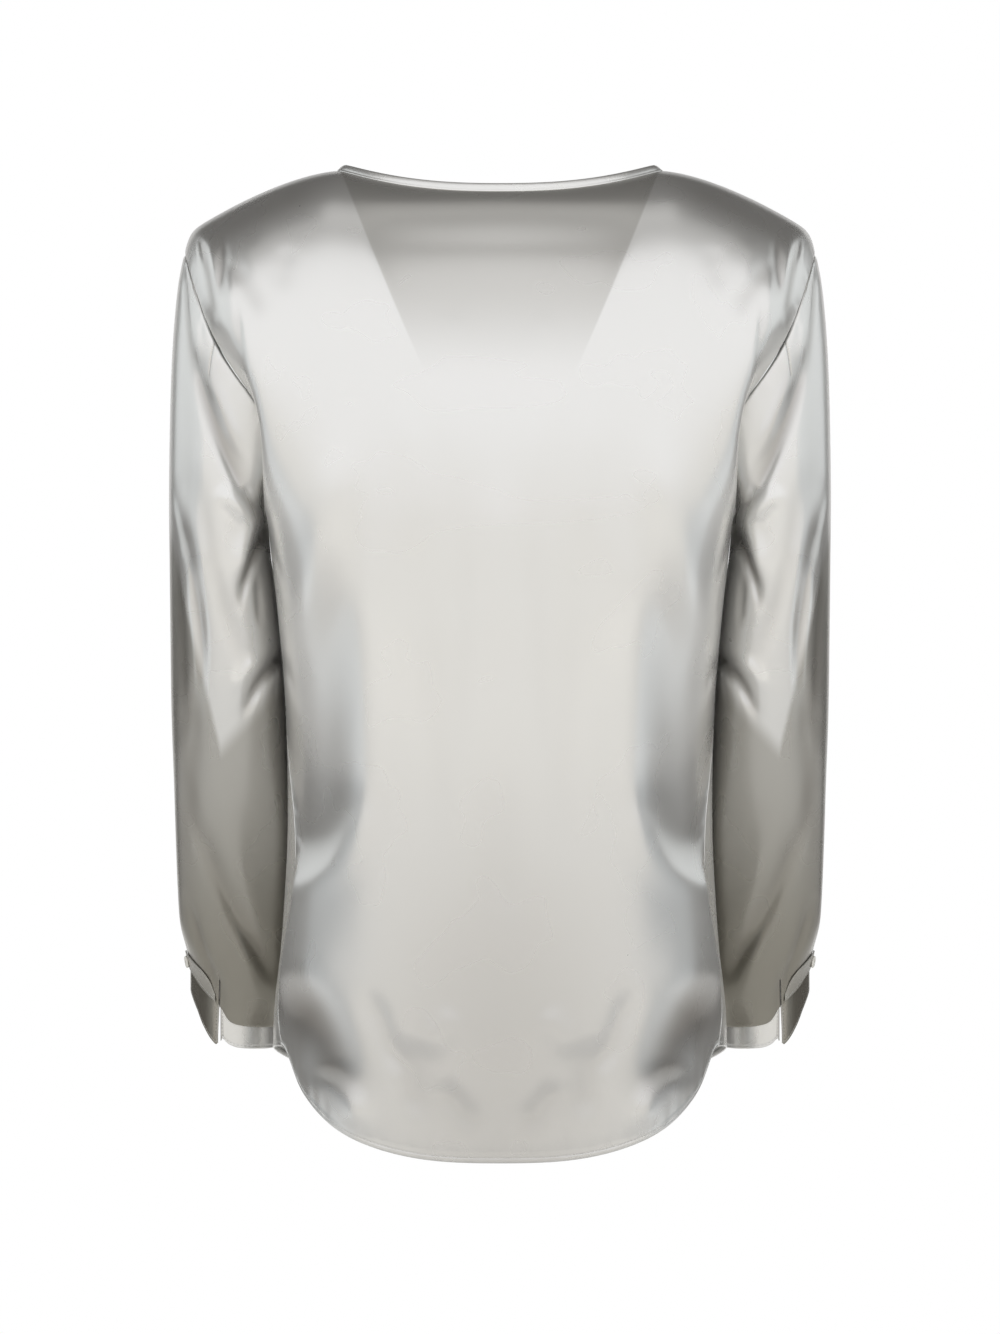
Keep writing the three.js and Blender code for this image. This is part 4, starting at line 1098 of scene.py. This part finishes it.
def button_surface(columns=72):
    """The button as a turned profile from the middle of its back over the rim to its dished face, with
    four smooth wells sunk in the dish for the thread."""
    radius, thickness = BUTTON["radius"], BUTTON["thickness"]
    rim = np.array([
        (0, 0), (0.8, 0), (0.95, 0.1), (1, 0.3), (1, 0.65), (0.96, 0.88), (0.88, 1), (0.8, 0.97), (0.7, 0.8),
    ])
    dish = np.linspace(BUTTON["dish_radius"], 0, 26)
    part = np.concatenate([rim[:, 0], dish])[:, None]
    height = np.concatenate([rim[:, 1], np.full(len(dish), BUTTON["dish_height"])])[:, None] * thickness
    turn = np.linspace(0, math.tau, columns + 1)[None, :]
    x, y = part * radius * np.cos(turn), part * radius * np.sin(turn)
    on_face = (np.arange(len(part)) >= len(rim))[:, None]
    hole_at = BUTTON["hole_at"]
    away = np.hypot(np.abs(x) - hole_at, np.abs(y) - hole_at)
    well = 1 - ease(BUTTON["hole"] * 0.7, BUTTON["hole"] * 1.15, away)
    height = height - on_face * BUTTON["well_depth"] * well
    seat, across, down, out = button_frame()
    return seat + x[..., None] * across + y[..., None] * down + height[..., None] * out


def neck_loop():
    """The neck edge as one closed loop at even steps, across the back and then down and up the V, with the
    outward directions of the cloth on it."""
    stretches = []
    for side, order in (("back", -1), ("front", 1)):
        grid, normals = panel_surface(side)
        u = panel_columns(grid.shape[1])
        at = np.linspace(-NECK["column"], NECK["column"], 241)[::order]
        line = np.concatenate([grid[-1, :, :3], normals[-1]], axis=-1)
        stretches.append(np.stack([np.interp(at, u, line[:, channel]) for channel in range(6)], axis=-1))
    loop = np.concatenate([stretches[0], stretches[1][1:]])
    run = np.concatenate([[0], np.cumsum(np.linalg.norm(np.diff(loop[:, :3], axis=0), axis=-1))])
    even = np.linspace(0, run[-1], BINDING["points"], endpoint=False)
    loop = np.stack([np.interp(even, run, loop[:, channel]) for channel in range(6)], axis=-1)
    return loop[:, :3], unit(blurred(loop[:, 3:], 0, 3, closed=True))


def binding_surface():
    """The folded tape swept round the neck loop. Its way into the neck is square to the loop, turned
    gradually through each corner and stretched there so that its width is kept. Behind the neck the tape
    stands up, by tilting its way into the neck towards the vertical."""
    place, normal = neck_loop()
    before, after = np.roll(place, 1, axis=0), np.roll(place, -1, axis=0)
    tangent = unit(after - before)
    face = unit(normal - (normal * tangent).sum(-1, keepdims=True) * tangent)
    square = np.cross(face, tangent)
    inward = unit(blurred(square, 0, 5, closed=True))
    stretch = 1 / np.maximum((inward * square).sum(-1, keepdims=True), 0.42)
    behind = np.maximum(0, -inward[:, 1])
    lift = BINDING["lift"] * (1 - np.abs(inward[:, 2])) + BINDING["stand"] * behind
    lift = lift * ease(-20, 0, place[:, 1])
    inward = unit(inward + stack(0 * lift, 0 * lift, lift))
    face = unit(np.cross(tangent, inward))
    near_point = np.exp(-((np.abs(place[:, :1]) - NECK["half_width"]) / 2.5) ** 2)
    near_point = near_point * ease(-3, 0, place[:, 2:3] + 8)
    rows = [
        place + inward * stretch * into + face * (height + BINDING["knob"] * near_point * (height > 0))
        for into, height in TAPE
    ]
    grid = np.stack(rows)
    return np.concatenate([grid, grid[:, :1]], axis=1), np.stack([face] * len(TAPE))


def declared(piece, node, slot="satin", **sheet):
    """Attaches a piece to the root body and hides the CAD node that it stands for. The paint slot and the
    flat cloth that it was cut from are not used.
    """
    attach(piece, "root")
    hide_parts(node)
    return piece


class BLOUSE_OT_panels(bpy.types.Operator):
    """Makes the back and front panels of the body"""

    bl_idname = "blouse.panels"
    bl_label = "Body panels"

    def execute(self, context):
        silk = silk_charmeuse()
        for side in ("back", "front"):
            grid, normals = panel_piece(side)
            cloth = Cloth()
            cloth.add(grid, flipped=side == "front", flat=CUTS[side]["flat"])
            for edge in ("left", "right"):
                cloth.add(turned_in(grid, normals, edge, SEAM_ALLOWANCE))
            cloth.add(turned_in(grid, normals, "bottom", HEM_TURNED))
            cloth.add(turned_in(grid, normals, "top", NECK_TURNED))
            piece = cloth.build(side + "_panel", silk, wall=context.scene.blouse_sizes.cloth_wall)
            declared(piece, side, **CUTS[side])
        return {"FINISHED"}


class BLOUSE_OT_sleeves(bpy.types.Operator):
    """Makes both sleeves, open at the vent"""

    bl_idname = "blouse.sleeves"
    bl_label = "Sleeves"

    def execute(self, context):
        silk = silk_charmeuse()
        grid, normals, absent = sleeve_piece()
        for name, hand in (("left", np.copy), ("right", mirrored)):
            cloth = Cloth()
            shape, faces = hand(grid), hand(normals)
            cloth.add(shape, flipped=name == "right", absent=absent, flat=CUTS["sleeve"]["flat"])
            cloth.add(turned_in(shape, faces, "bottom", WRIST_TURNED)[:, :-1])
            cloth.add(turned_in(shape, faces, "top", SEAM_ALLOWANCE))
            piece = cloth.build("sleeve_" + name + "_cloth", silk, wall=context.scene.blouse_sizes.cloth_wall)
            declared(piece, "sleeve_" + name, **CUTS["sleeve"])
        return {"FINISHED"}


class BLOUSE_OT_cuffs(bpy.types.Operator):
    """Makes both cuffs and the plackets that lie over their vents"""

    bl_idname = "blouse.cuffs"
    bl_label = "Cuffs and plackets"

    def execute(self, context):
        silk = silk_charmeuse()
        for kind, surface in (("cuff", cuff_surface()), ("placket", placket_surface())):
            grid, _ = banded(surface)
            for name, hand in (("left", np.copy), ("right", mirrored)):
                cloth = Cloth()
                cloth.add(hand(grid), flipped=name == "left", flat=CUTS[kind]["flat"])
                piece = cloth.build(kind + "_" + name + "_cloth", silk, wall=BAND_WALLS[kind])
                declared(piece, kind + "_" + name, **CUTS[kind])
        return {"FINISHED"}


class BLOUSE_OT_binding(bpy.types.Operator):
    """Makes the folded tape round the neck"""

    bl_idname = "blouse.binding"
    bl_label = "Neck binding"

    def execute(self, context):
        silk = silk_charmeuse()
        grid, _ = binding_surface()
        cloth = Cloth()
        cloth.add(grid, flat=TAPE_SPAN)
        piece = cloth.build("neck_binding_tape", silk, wall=TAPE_WALL)
        declared(piece, "neck_binding", **CUTS["neck_binding"])
        return {"FINISHED"}


class BLOUSE_OT_buttons(bpy.types.Operator):
    """Makes both buttons; the stitching step sews them on with two bars of thread each"""

    bl_idname = "blouse.buttons"
    bl_label = "Buttons"

    def execute(self, context):
        shell = trocas_shell()
        for name, hand in (("left", np.copy), ("right", mirrored)):
            cloth = Cloth()
            cloth.add(hand(button_surface()), flipped=name == "right")
            declared(cloth.build("button_" + name + "_shell", shell), "button_" + name, slot="shell_button")
        return {"FINISHED"}


class BLOUSE_OT_stitching(bpy.types.Operator):
    """Sews the visible stitches: hems, side seams, cuffs, plackets, neck tape and buttons"""

    bl_idname = "blouse.stitching"
    bl_label = "Stitching"

    def execute(self, context):
        sizes = context.scene.blouse_sizes
        runs = []

        def sew(line, outward, both=True, spacing=sizes.stitch_spacing):
            """Adds a run of stitches, on both sides of the body unless both is false."""
            length, radius = sizes.stitch_length, sizes.thread_radius
            for hand in (np.copy, mirrored) if both else (np.copy,):
                runs.append(stitches(hand(line), hand(outward), spacing, length, radius))

        for side in ("back", "front"):
            grid, normals = panel_piece(side)
            sew(*seam_line(grid, normals, "bottom", HEM_STITCH), both=False)
            if side == "back":
                for distance in SIDE_STITCHES:
                    line, outward = seam_line(grid, normals, "right", distance)
                    low = line[:, 2] < SIDE_STITCH_TOP
                    sew(line[low], outward[low])
        grid, normals = banded(cuff_surface())
        for edge in EDGES:
            sew(*seam_line(grid, normals, edge, BAND_STITCH))
        grid, normals = banded(placket_surface())
        for edge in EDGES:
            sew(*seam_line(grid, normals, edge, BAND_STITCH))
        grid, normals = binding_surface()
        tape_row = [into for into, _ in TAPE].index(0.7)
        sew(grid[tape_row, :-1], normals[tape_row], both=False)
        seat, across, down, out = button_frame()
        middle = seat + out * BUTTON["thickness"] * 0.78
        hole_at = BUTTON["hole_at"]
        for side in (-hole_at, hole_at):
            for strand in (-0.16, 0.16):
                start = middle + across * (side + strand)
                ends = [start + down * far for far in (-hole_at * 1.15, hole_at * 1.15)]
                sew(np.array(ends), np.array([out, out]), spacing=hole_at * 2.3)
        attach(stitched_object("stitching", runs, silk_thread()), "root")
        return {"FINISHED"}


def floor_disc():
    """A pale paper floor below the blouse."""
    paper, tree = new_material("matt white floor paper")
    place = add_node(tree, "ShaderNodeTexCoord")
    grain = noise(tree, place.outputs["Object"], Scale=40.0)
    dimple = add_node(tree, "ShaderNodeBump", {"Strength": 0.02}, links={"Height": grain})
    colour, glow = to_linear("#F2F1EE"), to_linear("#FFFFFF")
    surfaced(
        tree, {"Base Color": colour, "Roughness": 0.9, "Emission Color": glow, "Emission Strength": 0.3},
        {"Normal": dimple.outputs["Normal"]},
    )
    turns = np.linspace(0, math.tau, 96, endpoint=False)
    ring = stack(np.cos(turns) * FLOOR["radius"], np.sin(turns) * FLOOR["radius"], FLOOR["z"])
    mesh = bpy.data.meshes.new("floor")
    mesh.from_pydata(ring.tolist(), [], [list(range(len(ring)))])
    mesh.materials.append(paper)
    floor = bpy.data.objects.new("floor", mesh)
    bpy.context.scene.collection.objects.link(floor)


def studio_world():
    """White behind the blouse for the camera, and a dim warm grey room for everything that it mirrors."""
    world = bpy.data.worlds.new("studio")
    world.use_nodes = True
    tree = world.node_tree
    tree.nodes.clear()
    path = add_node(tree, "ShaderNodeLightPath")
    dim = {"Color": to_linear(ROOM["colour"]), "Strength": ROOM["strength"]}
    room = add_node(tree, "ShaderNodeBackground", dim)
    paper_white = add_node(tree, "ShaderNodeBackground", {"Color": (1, 1, 1, 1), "Strength": 1.0})
    seen = add_node(
        tree, "ShaderNodeMixShader",
        links={
            0: path.outputs["Is Camera Ray"],
            1: room.outputs["Background"],
            2: paper_white.outputs["Background"],
        },
    )
    add_node(tree, "ShaderNodeOutputWorld", links={"Surface": seen.outputs["Shader"]})
    bpy.context.scene.world = world


def lamp(name, place, target, size, radiance, colour):
    """A flat rectangular light that is as bright from everywhere as its radiance says."""
    light = bpy.data.lights.new(name, "AREA")
    light.shape = "RECTANGLE"
    light.size, light.size_y = size
    light.energy = radiance * math.pi * size[0] * size[1]
    light.color = to_linear(colour)[:3]
    holder = bpy.data.objects.new(name, light)
    holder.location = place
    holder.rotation_euler = (Vector(target) - Vector(place)).to_track_quat("-Z", "Y").to_euler()
    holder.visible_camera = False
    bpy.context.scene.collection.objects.link(holder)


def stage_camera():
    """The camera, level with the middle of the blouse and square to its back."""
    lens = bpy.data.cameras.new("camera")
    lens.sensor_width = 36
    lens.lens = 36 * CAMERA["distance"] / CAMERA["frame_height"]
    camera = bpy.data.objects.new("camera", lens)
    camera.location = (0, CAMERA["distance"], CAMERA["z"])
    camera.rotation_euler = (math.radians(90), 0, math.radians(180))
    bpy.context.scene.collection.objects.link(camera)
    bpy.context.scene.camera = camera


class BLOUSE_OT_stage(bpy.types.Operator):
    """Makes the pale floor, the soft studio light and the camera"""

    bl_idname = "blouse.stage"
    bl_label = "Stage"

    def execute(self, context):
        floor_disc()
        studio_world()
        for row in LAMPS:
            lamp(*row)
        stage_camera()
        context.scene.view_settings.view_transform = "Standard"
        return {"FINISHED"}


# ---- the add-on --------------------------------------------------------------------------------
def size_property(label, description, usual, low, high, **more):
    """A number that the user can change."""
    return FloatProperty(name=label, description=description, default=usual, min=low, max=high, **more)


class BlouseSizes(bpy.types.PropertyGroup):
    """Sizes in millimetres, and how blurred the gloss is."""

    cloth_wall: size_property("Cloth thickness", "Thickness of the silk", 0.4, 0.1, 1.2)
    stitch_length: size_property("Stitch length", "Length of one stitch", 2.2, 0.8, 5)
    stitch_spacing: size_property("Stitch spacing", "From one stitch to the next", 2.8, 1, 8)
    thread_radius: size_property("Thread radius", "Half the thickness of the thread", 0.16, 0.05, 0.6)
    gloss_blur: size_property("Gloss blur", "Roughness of the satin face", 0.28, 0.1, 0.8, subtype="FACTOR")


def colour_property(label, description, hex_colour):
    """A colour that the user can change."""
    return FloatVectorProperty(
        name=label, description=description, subtype="COLOR", size=4, min=0, max=1,
        default=to_linear(hex_colour),
    )


class BlouseColours(bpy.types.PropertyGroup):
    """Colours of the silk, of the shade painted on it over the dark inside and along folds, and of
    what is sewn on it.
    """

    silk: colour_property("Silk", "Colour of the silk over another layer", "#DEDDDA")
    # painted shade: the darker grey where the dark inside shows through one layer
    painted_see_through_shade: colour_property("Single layer", "Colour of one layer with nothing pale behind", "#918D83")
    # painted shade: the warm brown that the silk's colour is darkened towards along folds
    painted_fold_shade: colour_property("Deep fold", "Colour of the silk deep in a fold", "#574C40")
    thread: colour_property("Thread", "Colour of the sewing thread", "#C6C5C0")
    shell: colour_property("Shell", "Colour of the buttons", "#F6F5F1")


class BLOUSE_PT_panel(bpy.types.Panel):
    """Lists the sizes, the colours and the steps that make the blouse"""

    bl_idname = "BLOUSE_PT_panel"
    bl_label = "Satin blouse"
    bl_space_type = "VIEW_3D"
    bl_region_type = "UI"
    bl_category = "Blouse"

    def draw(self, context):
        for group in (context.scene.blouse_sizes, context.scene.blouse_colours):
            for name in group.bl_rna.properties.keys():
                if name not in ("rna_type", "name"):
                    self.layout.prop(group, name)
        for step in STEPS:
            self.layout.operator(step.bl_idname)


STEPS = (
    BLOUSE_OT_stage, BLOUSE_OT_panels, BLOUSE_OT_sleeves, BLOUSE_OT_cuffs, BLOUSE_OT_binding,
    BLOUSE_OT_buttons, BLOUSE_OT_stitching,
)
CLASSES = (BlouseSizes, BlouseColours, *STEPS, BLOUSE_PT_panel)


def register():
    """Registers the add-on's classes and its two groups of properties."""
    for cls in CLASSES:
        bpy.utils.register_class(cls)
    bpy.types.Scene.blouse_sizes = PointerProperty(type=BlouseSizes)
    bpy.types.Scene.blouse_colours = PointerProperty(type=BlouseColours)


def unregister():
    """Takes away what register() added."""
    del bpy.types.Scene.blouse_colours
    del bpy.types.Scene.blouse_sizes
    for cls in reversed(CLASSES):
        bpy.utils.unregister_class(cls)


def main():
    """Makes the stage and every piece."""
    register()
    bpy.ops.blouse.stage()
    bpy.ops.blouse.panels()
    bpy.ops.blouse.sleeves()
    bpy.ops.blouse.cuffs()
    bpy.ops.blouse.binding()
    bpy.ops.blouse.buttons()
    bpy.ops.blouse.stitching()


if __name__ == "__main__":
    main()
